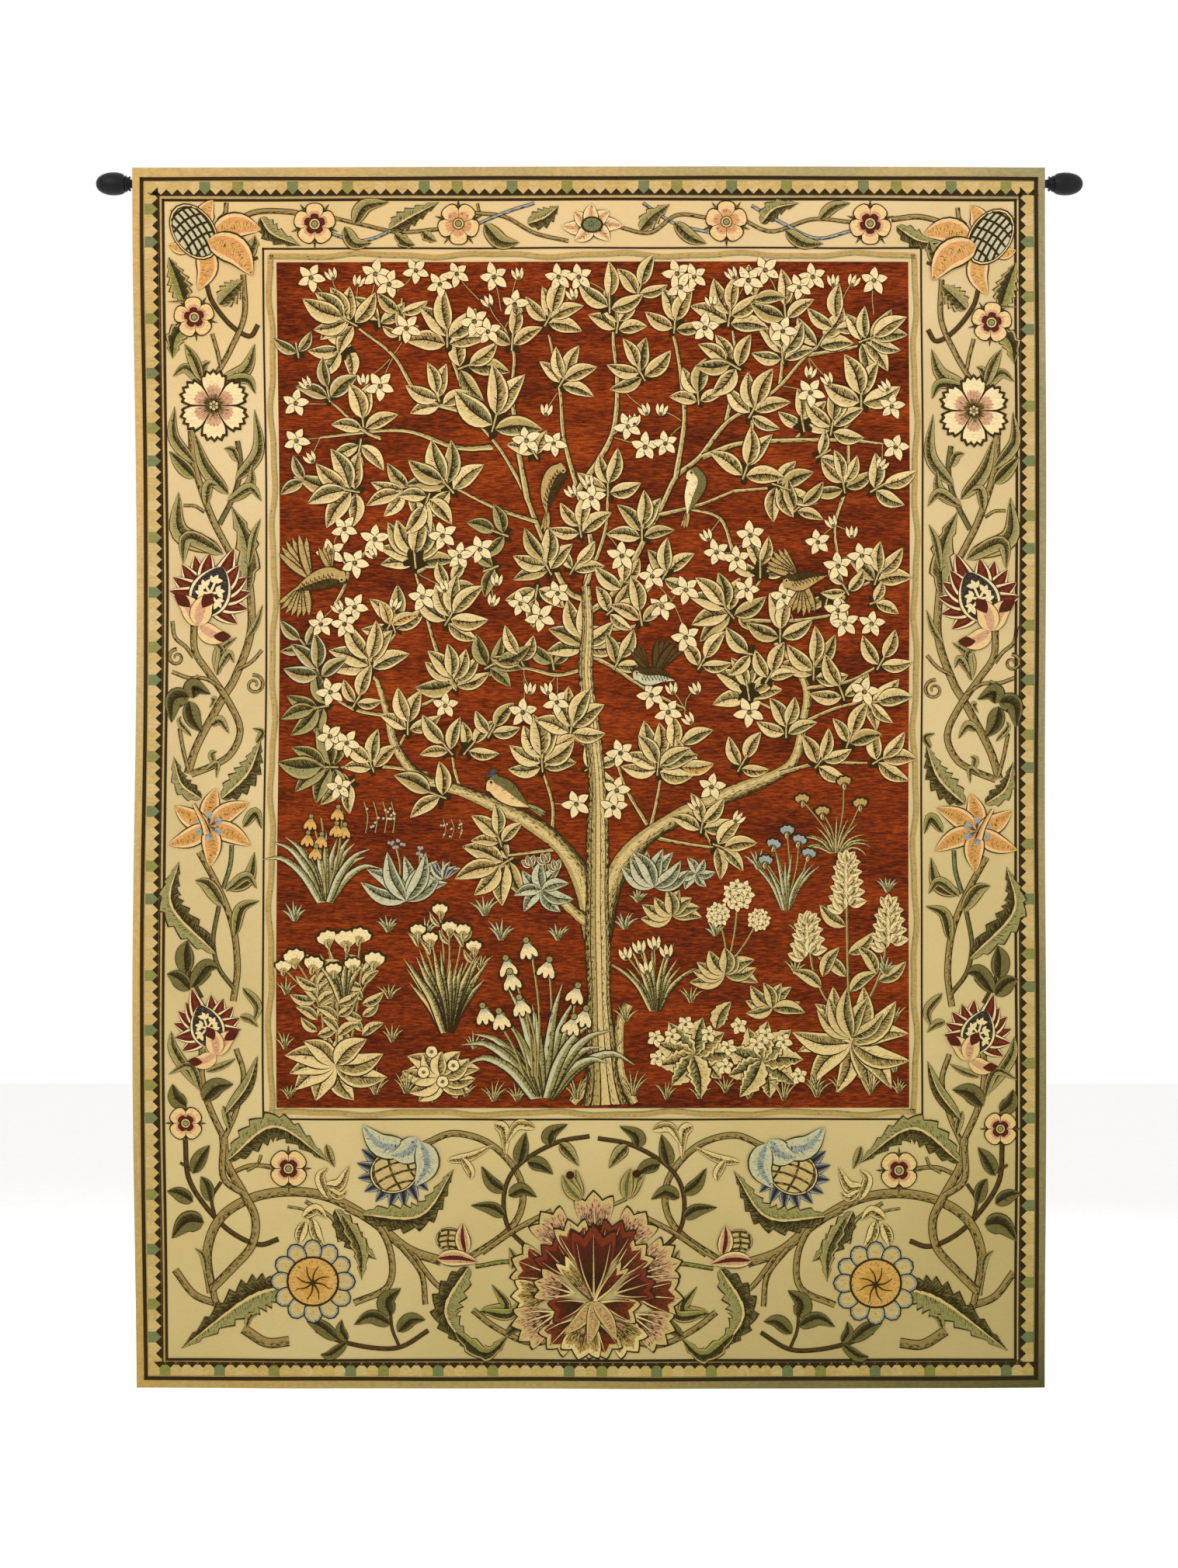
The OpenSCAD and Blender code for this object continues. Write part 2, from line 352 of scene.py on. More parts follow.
# %% The strip
def smooth_line(points, n):
    """Catmull-Rom line through the points: half of 2b + (c-a)f + (2a-5b+4c-d)f^2
    + (3b-a-3c+d)f^3 between b and c, with f from 0 to 1."""
    p = np.asarray(points, float)
    p = np.vstack([2 * p[0] - p[1], p, 2 * p[-1] - p[-2]])
    t = np.linspace(0, len(p) - 3, n)
    i = np.minimum(t.astype(int), len(p) - 4)
    f = (t - i)[:, None]
    a, b, c, d = p[i], p[i + 1], p[i + 2], p[i + 3]
    return (2 * b + (c - a) * f + (2 * a - 5 * b + 4 * c - d) * f ** 2
            + (3 * b - a - 3 * c + d) * f ** 3) / 2


def figure(places, run, bands, lift, wrap=False):
    """A grid of places in cm, (along, across, 2), with its map, as one woven figure."""
    faces = grid_faces(*places.shape[:2], wrap)
    rows = len(faces) // len(bands)
    low, high = np.array([b[3:] for b in bands], float).T
    return {
        "xz": places.reshape(-1, 2),
        "run": run.reshape(-1, 2),
        "faces": faces,
        "yarn": np.tile([DYE[b[2]] for b in bands], (rows, 1)),
        "shade": np.tile(np.stack([low, high, high, low], axis=1), (rows, 1)),
        "lift": np.full(places.shape[0] * places.shape[1], lift),
    }


def strip(points, half, bands, n=12, lift=1.0, along=False):
    """A strip: place(u, v) = line(u) + v * half(u) * normal(u), v from -1 to 1. Its map is
    length along and across it in cm, leaned towards the tip as a leaf's veins are."""
    line = smooth_line(points, n)
    u = np.linspace(0, 1, n)
    half = half(u) if callable(half) else np.full(n, half)
    slope = np.gradient(line, axis=0)
    slope /= np.linalg.norm(slope, axis=1, keepdims=True)
    normal = np.stack([-slope[:, 1], slope[:, 0]], axis=1)
    length = np.concatenate([[0], np.cumsum(np.linalg.norm(np.diff(line, axis=0), axis=1))])
    v = np.array([b[0] for b in bands] + [bands[-1][1]])
    across = half[:, None] * v
    places = line[:, None, :] + across[:, :, None] * normal[:, None, :]
    length = np.broadcast_to(length[:, None], across.shape)
    pair = (across, length) if along else (length - 0.7 * np.abs(across), across)
    return figure(places, np.stack(pair, axis=-1) + chance.uniform(0, 50), bands, lift)

# %% The fan
def fan(x, z, angle, spread, reach, rings, n=14, lift=1.0):
    """A fan: place(r, t) = centre + r * reach(t) * (cos, sin)(angle + spread * t), with t from
    -1 to 1 and angles in degrees. Its map is turned so that strokes run outwards."""
    whole = spread >= 180
    t = np.linspace(-1, 1, n + 1)[:-1] if whole else np.linspace(-1, 1, n)
    reach = reach(t) if callable(reach) else np.full(n, reach)
    turn = np.radians(angle + spread * t)
    r = np.array([b[0] for b in rings] + [rings[-1][1]])
    out = reach[:, None] * r
    places = np.stack([x + out * np.cos(turn)[:, None], z + out * np.sin(turn)[:, None]], axis=-1)
    round_it = np.broadcast_to((turn * reach.mean() * 0.7)[:, None], out.shape)
    run = np.stack([round_it, out], axis=-1) + chance.uniform(0, 50)
    return figure(places, run, rings, lift, wrap=whole)

# %% Put figures on the cloth
def on_cloth(name, figures):
    """Joins figures into one piece on the hanging surface, with its yarn, shade and map."""
    offset = np.cumsum([0] + [len(f["xz"]) for f in figures])
    xz = np.vstack([f["xz"] for f in figures])
    faces = np.vstack([f["faces"] + o for f, o in zip(figures, offset)])
    shades = np.vstack([f["shade"] for f in figures])
    a, b, c, d = (xz[faces[:, i]] for i in range(4))
    first, second = c - a, d - b
    turned = first[:, 0] * second[:, 1] - first[:, 1] * second[:, 0] < 0
    faces[turned] = faces[turned][:, ::-1]
    shades[turned] = shades[turned][:, ::-1]
    lift = np.concatenate([f["lift"] for f in figures])
    piece = mesh_object(name, hang(xz[:, 0], xz[:, 1], lift), faces, FIGURED)
    mesh = piece.data
    yarn = mesh.attributes.new("yarn", "FLOAT_COLOR", "FACE")
    colours = np.vstack([f["yarn"] for f in figures])
    yarn.data.foreach_set("color", np.hstack([colours, np.ones((len(faces), 1))]).ravel())
    shade = mesh.attributes.new("shade", "FLOAT", "CORNER")
    shade.data.foreach_set("value", shades.ravel())
    run = mesh.uv_layers.new(name="run")
    run.data.foreach_set("uv", np.vstack([f["run"] for f in figures])[faces.ravel()].ravel())
    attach(piece, "cloth")
    print(f"{name}: {len(figures)} figures, {2 * len(faces)} triangles")
    return piece


# %% [markdown]
# ## Face cloth with its hems
# The picture's four edges are turned back 28 mm, so the cloth is two layers thick round its
# edge and one in the middle. It is made as one closed slab: a front grid, a back grid that
# stands further out near the edge, and a half-round fold that joins them.

# %% Face cloth
def slab(name, half, low, high, front, back, material, columns, rows):
    """A closed sheet on the hanging surface. Front and back are lifts in mm behind the face,
    as functions of (x, z), and rows of points on a half circle join them at the edge."""
    x = np.linspace(-half, half, columns)
    z = np.linspace(low, high, rows)
    gx, gz = np.meshgrid(x, z)
    face = np.stack([gx, gz, front(gx, gz)], axis=-1).reshape(-1, 3)
    rear = np.stack([gx, gz, back(gx, gz)], axis=-1).reshape(-1, 3)
    ring = rim_of(rows, columns)
    middle = np.array([0.0, (low + high) / 2])
    out = face[ring, :2] - middle
    out = np.sign(out) * (np.abs(out) > [half - 1e-6, (high - low) / 2 - 1e-6])
    bends = []
    for turn in np.radians([150, 120, 90, 60, 30]):
        radius = (face[ring, 2] - rear[ring, 2]) / 2
        centre = (face[ring, 2] + rear[ring, 2]) / 2
        rim = face[ring].copy()
        rim[:, :2] += out * (radius * np.sin(turn))[:, None] / 10
        rim[:, 2] = centre - radius * np.cos(turn)
        bends.append(rim)
    points = np.vstack([face, rear] + bends)
    loops = [ring] + [2 * rows * columns + k * len(ring) + np.arange(len(ring))
                      for k in range(len(bends))] + [rows * columns + ring]
    faces = [grid_faces(rows, columns), grid_faces(rows, columns)[:, ::-1] + rows * columns]
    for near, far in zip(loops[:-1], loops[1:]):
        faces.append(np.stack([near, far, np.roll(far, -1), np.roll(near, -1)], axis=1))
    return mesh_object(name, hang(*points.T), np.vstack(faces), material)


def woven_edge():
    """The plain selvedge ground: gold at the top left, greyer to the right, olive below, and darker
    at its bottom edge from painted shade.
    """
    material, tree, shader = new_material("plain_edge_cotton")
    place, floats, _, bump = weave(tree, 0.45)
    parts = add(tree, "ShaderNodeSeparateXYZ", Vector=place)
    patches = add(tree, "ShaderNodeTexNoise", Vector=place, Scale=3.2, Detail=2.0)
    lean = add(tree, "ShaderNodeMath", {"operation": "MULTIPLY_ADD"}, i0=parts.outputs["X"],
               i1=-0.42, i2=patches.outputs["Fac"])
    colour = ramp(tree, lean.outputs[0], [(0.18, "#98926D"), (0.42, "#B3A378"),
                                          (0.62, "#C5AD79"), (0.85, "#D0AE72")])
    # Painted shade: the edge darkens towards its bottom right.
    wear_and_painted_shade = painted_falloff(tree, place, [(0.0, "#A0A08E"), (0.10, "#EDEBE2"), (0.5, "#FFFFFF")])
    colour = add(tree, "ShaderNodeMix", {"data_type": "RGBA", "blend_type": "MULTIPLY"},
                 Factor=1.0, i6=colour, i7=wear_and_painted_shade).outputs[2]
    bands = streaks(tree, place, (120.0, 1.0, 120.0), Detail=1.0)
    colour = shaded(tree, colour, floats, 0.80, 1.12)
    colour = shaded(tree, colour, bands, 0.90, 1.08)
    finish_cotton(shader, tree, with_painted_shade(tree, place, colour), bump)
    return material


THICK = 1.2
HEM = 2.8


def rear_of_face(x, z):
    """Two layers within a hem's width of the edge, one layer inside, with a short step."""
    inset = np.minimum(WIDTH / 2 - np.abs(x), np.minimum(z, HEIGHT - z))
    return -THICK * (1 + np.clip((HEM - inset) / 0.4, 0, 1))


hem_lines = 0.12
face_cloth = slab("face_cloth_woven", WIDTH / 2 - hem_lines, hem_lines, HEIGHT - hem_lines,
                  lambda x, z: 0 * x, rear_of_face, woven_edge(), columns=100, rows=134)
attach(face_cloth, "cloth")
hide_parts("face_cloth")
print(len(face_cloth.data.polygons), "faces in the face cloth")

# %% [markdown]
# ## The two grounds
# Inside the patterned edge the picture has a cream border and a red field. On the loom they
# are the same cloth in other colours. Here each is a thin layer on the cloth, so that it has
# a material of its own: even cream for the border, and for the field a rust red whose floats
# of dark and bright weft show as short streaks across it.

# %% Grounds
FIELD_LEFT, FIELD_RIGHT = -46.1, 47.1
FIELD_LOW, FIELD_HIGH = 41.3, 165.8
BORDER_HALF = 62.9
BORDER_LOW, BORDER_HIGH = 4.2, 174.9


def cream_ground():
    """Plain cotton ground: matt cream, a little cloudy, and greener towards the bottom, with
    painted shade that darkens it towards the bottom and right.
    """
    material, tree, shader = new_material("cream_border_cotton")
    place, floats, _, bump = weave(tree, 0.22)
    cloud = add(tree, "ShaderNodeTexNoise", Vector=place, Scale=4.0, Detail=3.0)
    colour = ramp(tree, cloud.outputs["Fac"], [(0.3, "#DBC998"), (0.5, "#E3D0A2"),
                                               (0.7, "#E9D7AD")])
    colour = shaded(tree, colour, floats, 0.95, 1.03)
    # Painted shade: the cream darkens towards the bottom and right.
    height = painted_falloff(tree, place, [(0.0, "#A5A27F"), (0.12, "#B6B18D"), (0.3, "#CEC8A9"),
                                    (0.55, "#DAD1BC"), (0.87, "#E7DBCD"), (1.0, "#E9D7BE")])
    white = add(tree, "ShaderNodeMix", {"data_type": "RGBA", "blend_type": "MULTIPLY"},
                Factor=1.0, i6=colour, i7=height)
    bright = add(tree, "ShaderNodeMix", {"data_type": "RGBA", "blend_type": "ADD"},
                 Factor=0.10, i6=white.outputs[2], i7=colour)
    finish_cotton(shader, tree, bright.outputs[2], bump)
    return material


def red_ground():
    """Plain cotton ground: rust red, broken by short light and dark picks across it."""
    material, tree, shader = new_material("rust_field_cotton")
    place, _, _, bump = weave(tree, 0.45)
    picks = streaks(tree, place, (75.0, 75.0, 520.0), Detail=3.0, Roughness=0.7)
    bars = streaks(tree, place, (5.0, 5.0, 22.0), Detail=3.0, Roughness=0.6)
    cloud = add(tree, "ShaderNodeMath", {"operation": "MULTIPLY_ADD"}, i0=bars, i1=0.5, i2=picks)
    tone = add(tree, "ShaderNodeMapRange", Value=cloud.outputs[0], i1=0.46, i2=1.03)
    colour = ramp(tree, tone.outputs[0], [(0.12, "#3A1607"), (0.38, "#5E2308"),
                                          (0.6, "#7E310B"), (0.9, "#A34816")])
    # Painted shade: the red darkens towards the bottom and right of the cloth.
    finish_cotton(shader, tree, with_painted_shade(tree, place, colour), bump)
    return material


def ground_patch(name, pieces, lift, material):
    """Rectangles (left, right, low, high) in cm laid on the hanging surface as one piece."""
    points, faces, count = [], [], 0
    for left, right, low, high in pieces:
        columns = max(2, int((right - left) / 1.6))
        rows = max(2, int((high - low) / 1.6))
        gx, gz = np.meshgrid(np.linspace(left, right, columns), np.linspace(low, high, rows))
        points.append(hang(gx, gz, lift).reshape(-1, 3))
        faces.append(grid_faces(rows, columns) + count)
        count += rows * columns
    piece = mesh_object(name, np.vstack(points), np.vstack(faces), material)
    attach(piece, "cloth")
    return piece


ground_patch("border_ground_cream", [
    (-BORDER_HALF, BORDER_HALF + 0.6, FIELD_HIGH, BORDER_HIGH),
    (-BORDER_HALF, BORDER_HALF + 0.6, BORDER_LOW, FIELD_LOW),
    (-BORDER_HALF, FIELD_LEFT, FIELD_LOW, FIELD_HIGH),
    (FIELD_RIGHT, BORDER_HALF + 0.6, FIELD_LOW, FIELD_HIGH)], 0.25, cream_ground())
ground_patch("field_ground_red", [(FIELD_LEFT, FIELD_RIGHT, FIELD_LOW, FIELD_HIGH)], 0.25,
             red_ground())
print("field", FIELD_RIGHT - FIELD_LEFT, "x", FIELD_HIGH - FIELD_LOW, "cm")

# %% [markdown]
# ## Lines, blocks and teeth of the edge
# Round the whole picture run, from the outside: a dark line, a row of coloured blocks one
# tooth wide, dark teeth that point outwards, a light gap and another dark line. Round the
# field runs one more dark line and a broad cream ribbon with a waving grey-green shadow line.
# All are strips and small quads, so a loop along each side draws them.

# %% Edge pattern
def frame_line(left, right, low, high, half, yarn, lift, wobble=0.03):
    """Four strips round a rectangle, each a little wavy, as warp and weft lines are."""
    corners = [(left, low), (right, low), (right, high), (left, high)]
    lines = []
    for (ax, az), (bx, bz) in zip(corners, corners[1:] + corners[:1]):
        t = np.linspace(0, 1, 40)[:, None]
        way = np.array([bx - ax, bz - az]) / math.hypot(bx - ax, bz - az)
        path = np.array([ax, az]) - way * half + t * (np.array([bx - ax, bz - az])
                                                      + 2 * way * half)
        path += np.array([-way[1], way[0]]) * (wobble * np.sin(23 * t + ax))
        bands = [(-1, -0.75, "maroon", 0.3, 0.8), (-0.75, 1, yarn, 0.75, 0.85)]
        lines.append(strip(path, half, bands, n=80, lift=lift, along=True))
    return lines


PITCH = 1.61
BLOCKS = ["sand", "straw", "sand", "sand", "straw", "jade", "straw", "sand", "olive", "sand",
          "straw", "straw", "sand", "jade", "sand", "straw", "sand", "sand", "olive", "sand"]


def toothed_side(start, end, inward, first):
    """Blocks and teeth along one side: a block has a pointed inner end between two teeth."""
    start, end, inward = (np.array(p, float) for p in (start, end, inward))
    count = int(round(np.linalg.norm(end - start) / PITCH))
    step = (end - start) / count
    figures = []
    for k in range(count):
        a = start + k * step
        b = a + step
        tone = BLOCKS[(k + first) % len(BLOCKS)]
        block = np.array([a, a + step / 2, b,
                          a + inward * 1.2, a + step / 2 + inward * 1.95, b + inward * 1.2])
        tooth = np.array([a + step / 2 + inward * 1.98, b + inward * 2.02,
                          a + step * 1.5 + inward * 1.98,
                          a + step / 2 + inward * 1.93, b + inward * 1.12,
                          a + step * 1.5 + inward * 1.93])
        for shape, yarn, shade, lift in ((block, tone, 0.02, 0.5), (tooth, "navy", 0.7, 0.7)):
            places = shape.reshape(2, 3, 2).swapaxes(0, 1)
            band = [(0, 1, yarn, shade, shade)]
            figures.append(figure(places, places * 0.6 + k, band, lift))
    return figures


edge = []
LINE_L, LINE_R, LINE_B, LINE_T = -65.9, 66.0, 1.45, 178.1
edge += frame_line(LINE_L, LINE_R, LINE_B, LINE_T, 0.27, "navy", 0.9)
IN = 0.42
left, right, low, high = LINE_L + IN, LINE_R - IN, LINE_B + IN, LINE_T - IN
edge += toothed_side((left, high), (right, high), (0, -1), 0)
edge += toothed_side((left, low), (right, low), (0, 1), 7)
edge += toothed_side((left, low + 1.6), (left, high - 1.6), (1, 0), 3)
edge += toothed_side((right, low + 1.6), (right, high - 1.6), (-1, 0), 11)
edge += frame_line(LINE_L + 2.55, LINE_R - 2.55, LINE_B + 2.1, LINE_T - 2.45, 0.10, "umber", 0.9)
edge += frame_line(LINE_L + 3.15, LINE_R - 3.1, LINE_B + 2.75, LINE_T - 3.15, 0.20, "navy", 0.9)
on_cloth("edge_pattern", edge)

# %% Field frame
def wavy_ribbon(left, right, low, high):
    """The cream ribbon round the field: two soft shadow lines that wander along it."""
    corners = [(left, low), (right, low), (right, high), (left, high)]
    figures = []
    for side, ((ax, az), (bx, bz)) in enumerate(zip(corners, corners[1:] + corners[:1])):
        run = math.hypot(bx - ax, bz - az)
        t = np.linspace(0, 1, 120)[:, None]
        way = np.array([bx - ax, bz - az]) / run
        across = np.array([-way[1], way[0]])
        for shift, half, yarn, shade in ((0.0, 0.30, "tan", 0.22), (0.46, 0.12, "sage", 0.34)):
            wander = 0.24 * np.sin(t * run / 2.9 + side) + 0.10 * np.sin(t * run / 1.3 + 2 * side)
            path = np.array([ax, az]) + t * (np.array([bx - ax, bz - az]))
            path = path + across * (shift + wander)
            bands = [(-1, 0, yarn, 0, shade), (0, 1, yarn, shade, 0)]
            figures.append(strip(path, half, bands, n=160, lift=0.55, along=True))
    return figures


frame_marks = wavy_ribbon(FIELD_LEFT - 1.0, FIELD_RIGHT + 1.0, FIELD_LOW - 0.9, FIELD_HIGH + 1.1)
frame_marks += frame_line(FIELD_LEFT - 1.95, FIELD_RIGHT + 1.9, FIELD_LOW - 1.65,
                          FIELD_HIGH + 2.0, 0.14, "navy", 0.8)
on_cloth("field_frame", frame_marks)

# %% [markdown]
# ## Leaves, petals and stems
# The motifs below repeat hundreds of times, so each is only a few dozen faces. A leaf is a
# strip whose half width swells and closes as a sine does. Its outline is dark, then a light
# rim, one half hatched dark, a dark midrib, and the other half pale, as the weaver shades it.

# %% Motif builders
order = 0


def level(base):
    """Each figure lies a little over the last, so that none shares a plane with another."""
    global order
    order += 1
    return base + 0.02 * (order % 24)


def swell(width, fullness=0.8, power=0.9):
    """Half width of a leaf along its length: width * sin(pi u^fullness)^power."""
    return lambda u: width * np.clip(np.sin(np.pi * u ** fullness), 0, 1) ** power + 0.02


def toothed(width, teeth, depth=0.4, fullness=0.75):
    """A leaf's half width with a saw along it: swell * (1 - depth * fraction(teeth * u))."""
    return lambda u: swell(width, fullness)(u) * (1 + depth / 2 - depth * (teeth * u % 1))


def halves(dark, light, rim="cream", deep=0.72, line="ink", thin=0.12):
    """Bands of a leaf: line, rim, hatched half, midrib, pale half, rim, line."""
    return [(-1, thin - 1, line, 0.85, 0.85), (thin - 1, -0.68, rim, 0.0, 0.15),
            (-0.68, -0.07, dark, 0.35, deep), (-0.07, 0.07, line, 0.85, 0.85),
            (0.07, 0.66, light, 0.42, 0.12), (0.66, 1 - thin, rim, 0.05, 0.0),
            (1 - thin, 1, line, 0.85, 0.85)]


def curve(x, z, angle, length, bend=0.15):
    """Three points of an arc from (x, z), leaving at angle and bending by that share."""
    way = np.array([math.cos(math.radians(angle)), math.sin(math.radians(angle))])
    side = np.array([-way[1], way[0]])
    start = np.array([x, z], float)
    return [start, start + way * length * 0.5 + side * length * bend, start + way * length]


def leaf(x, z, angle, length, width=None, bands=None, bend=0.1, n=9, base=1.0):
    """One leaf that grows from (x, z)."""
    width = width or 0.19 * length
    bend *= chance.choice([-1, 1])
    return strip(curve(x, z, angle, length, bend), swell(width), bands or halves("leaf", "pale"),
                 n=n, lift=level(base))


def stem(points, half, yarn="bark", n=None, tip=None):
    """A stem: dark line, light side, hatched side, dark line. It thins to tip at its end."""
    points = np.asarray(points, float)
    n = n or int(6 + 2.2 * np.linalg.norm(np.diff(points, axis=0), axis=1).sum() / 2)
    edge = min(0.12 / half, 0.35)
    bands = [(-1, edge - 1, "ink", 0.8, 0.8), (edge - 1, 0.1, yarn, 0.6, 0.35),
             (0.1, 1 - edge, yarn, 0.25, 0.02), (1 - edge, 1, "ink", 0.8, 0.8)]
    tip = half if tip is None else tip
    return strip(points, lambda u: half + (tip - half) * u, bands, n=n, lift=level(0.6),
                 along=True)


def blossom(x, z, r, turn, half=0.34):
    """A five-petalled star flower: pointed petals, a dark line round them, a small eye."""
    bands = [(-1, -0.80, "ink", 0.8, 0.8), (-0.80, 0.1, "ivory", 0.0, 0.30),
             (0.1, 0.80, "ivory", 0.22, 0.0), (0.80, 1, "ink", 0.8, 0.8)]
    figures = []
    for k in range(5):
        path = curve(x, z, turn + 72 * k, r * chance.uniform(0.92, 1.06), 0.04)
        figures.append(strip(path, swell(half * r, 0.85, 0.75), bands, n=7, lift=level(1.4)))
    eye = [(0.05, 0.55, "straw", 0.6, 0.7), (0.55, 1.0, "sage", 0.8, 0.5)]
    figures.append(fan(x, z, 0, 180, 0.19 * r, eye, n=7, lift=level(1.9)))
    return figures


def bud(x, z, angle, length=1.9):
    """A closed flower: three narrow petals held together over a green cup."""
    bands = [(-1, -0.75, "ink", 0.8, 0.8), (-0.75, 0.75, "ivory", 0.35, 0.0),
             (0.75, 1, "ink", 0.8, 0.8)]
    way = math.radians(angle)
    foot = (x - 0.5 * length * math.cos(way), z - 0.5 * length * math.sin(way))
    figures = [strip(curve(*foot, angle + lean, length, 0.08 * lean / 22),
                     swell(0.19 * length, 0.9, 0.7), bands, n=6, lift=level(1.3))
               for lean in (-24, 24, 0)]
    figures.append(strip(curve(*foot, angle, 0.32 * length, 0), swell(0.16 * length),
                         [(-1, 1, "moss", 0.5, 0.5)], n=4, lift=level(1.9)))
    return figures


def spray(x, z, way, count, length, bands=None):
    """Leaves on a short twig: the middle one at its end, the outer ones lower down it."""
    spread = min(55 + 20 * count, 185)
    turns = np.linspace(-spread / 2, spread / 2, count) if count > 1 else np.zeros(1)
    turns = turns + chance.uniform(-9, 9, count)
    ahead = np.array([math.cos(math.radians(way)), math.sin(math.radians(way))])
    foot = np.array([x, z])
    figures = [strip([foot - 0.3 * ahead, foot + 0.5 * length * ahead], 0.2, TWIG, n=5,
                     lift=level(0.8), along=True)]
    hollow = lambda t: 0.26 * length * (1 + 0.35 * np.sin(5 * np.pi * t + x))
    figures.append(fan(*(foot + 0.14 * length * ahead), way, 180, hollow,
                       [(0.08, 1, "ink", 0.95, 0.7)], 16, level(0.75)))
    for turn in turns[np.argsort(-np.abs(turns))]:
        size = length * (1 - 0.0012 * abs(turn)) * chance.uniform(0.86, 1.1)
        start = foot + ahead * length * (0.34 * (1 - 2 * abs(turn) / (spread + 30)))
        out = math.radians(way + turn)
        start = start + 0.3 * np.array([math.cos(out), math.sin(out)])
        tone = bands or CANOPY[chance.choice(len(CANOPY), p=CANOPY_SHARE)]
        figures.append(leaf(*start, way + turn, size, 0.25 * size * chance.uniform(0.9, 1.14),
                            tone, bend=0.07))
    return figures


CANOPY = [halves("leaf", "pale"), halves("sage", "pale"), halves("leaf", "cream", deep=0.6),
          halves("tan", "straw"), halves("sage", "leaf", rim="pale", deep=0.85)]
CANOPY_SHARE = [0.34, 0.24, 0.16, 0.12, 0.14]
GREEN = halves("moss", "sage", rim="leaf", deep=0.8)
GOLDEN = halves("amber", "straw", rim="cream", deep=0.55)
COOLER = halves("moss", "leaf", rim="mist", deep=0.7)

# %% [markdown]
# ## The tree
# One slender tree fills the field. Its trunk forks low down into two boughs and a leader that
# winds to the top, and each bough carries bare twigs that end in sprays of leaves.

# %% Trunk, boughs and twigs
BARK = [(-1, -0.9, "ink", 0.9, 0.9), (-0.9, -0.62, "moss", 0.75, 0.55),
        (-0.62, -0.15, "leaf", 0.55, 0.38), (-0.15, 0.5, "pale", 0.40, 0.16),
        (0.5, 0.9, "leaf", 0.12, 0.34), (0.9, 1, "ink", 0.9, 0.9)]
GROOVED = [(-1, -0.93, "umber", 0.9, 0.9), (-0.93, -0.70, "leaf", 0.70, 0.40),
           (-0.70, -0.63, "umber", 0.8, 0.8), (-0.63, -0.30, "pale", 0.25, 0.40),
           (-0.30, -0.24, "umber", 0.7, 0.7), (-0.24, 0.12, "pale", 0.10, 0.22),
           (0.12, 0.19, "umber", 0.75, 0.75), (0.19, 0.52, "leaf", 0.22, 0.45),
           (0.52, 0.60, "umber", 0.8, 0.8), (0.60, 0.93, "leaf", 0.40, 0.75),
           (0.93, 1, "umber", 0.9, 0.9)]


def bough(points, wide, narrow, bands=BARK, n=None, base=0.9, flare=0.0):
    """A limb that tapers and is a little knotted: half * (1 + 0.06 sin 40u + 0.05 sin 17u
    + flare * exp(-30u)), the last for the roots."""
    points = np.asarray(points, float)
    n = n or int(8 + 1.1 * np.linalg.norm(np.diff(points, axis=0), axis=1).sum())
    taper = lambda u: (wide + (narrow - wide) * u) * (1 + 0.06 * np.sin(40 * u)
                                                      + 0.05 * np.sin(17 * u)
                                                      + flare * np.exp(-30 * u))
    return strip(points, taper, bands, n=n, lift=level(base), along=True)


LIMBS = [
    ([(0.9, 66), (0.0, 71), (-1.8, 76.5), (-5, 80.6), (-9, 83.5), (-13, 85.5), (-19, 88),
      (-25, 90), (-28.5, 94), (-30, 99), (-31.5, 104)], 1.7, 0.45),
    ([(1.6, 66), (2.6, 71.5), (4.8, 77.2), (8.5, 81.2), (13, 84), (16, 85.5), (22, 88),
      (28, 90.5), (30.5, 93), (31.5, 98), (32, 103), (29, 108), (26, 111)], 1.7, 0.4),
    ([(5.7, 56.6), (4.5, 54), (4.3, 50), (4.7, 46), (6.6, 42)], 0.85, 0.75),
    ([(1.4, 67.6), (-1.4, 69.6), (-3.9, 71.8)], 1.0, 0.75),
    ([(1.4, 50), (0.4, 46), (-2.6, 42.2)], 1.5, 0.8),
]
TRUNK = [(2.2, 41.8), (2, 46), (1.6, 52), (1.4, 60), (1.2, 70), (1.2, 80), (1.0, 90),
         (-0.2, 100), (-0.8, 106), (-0.5, 112), (-0.8, 118)]
wood = [bough(*limb) for limb in LIMBS]
wood.append(bough(TRUNK, 2.45, 0.7, GROOVED, n=90, base=1.2, flare=0.5))
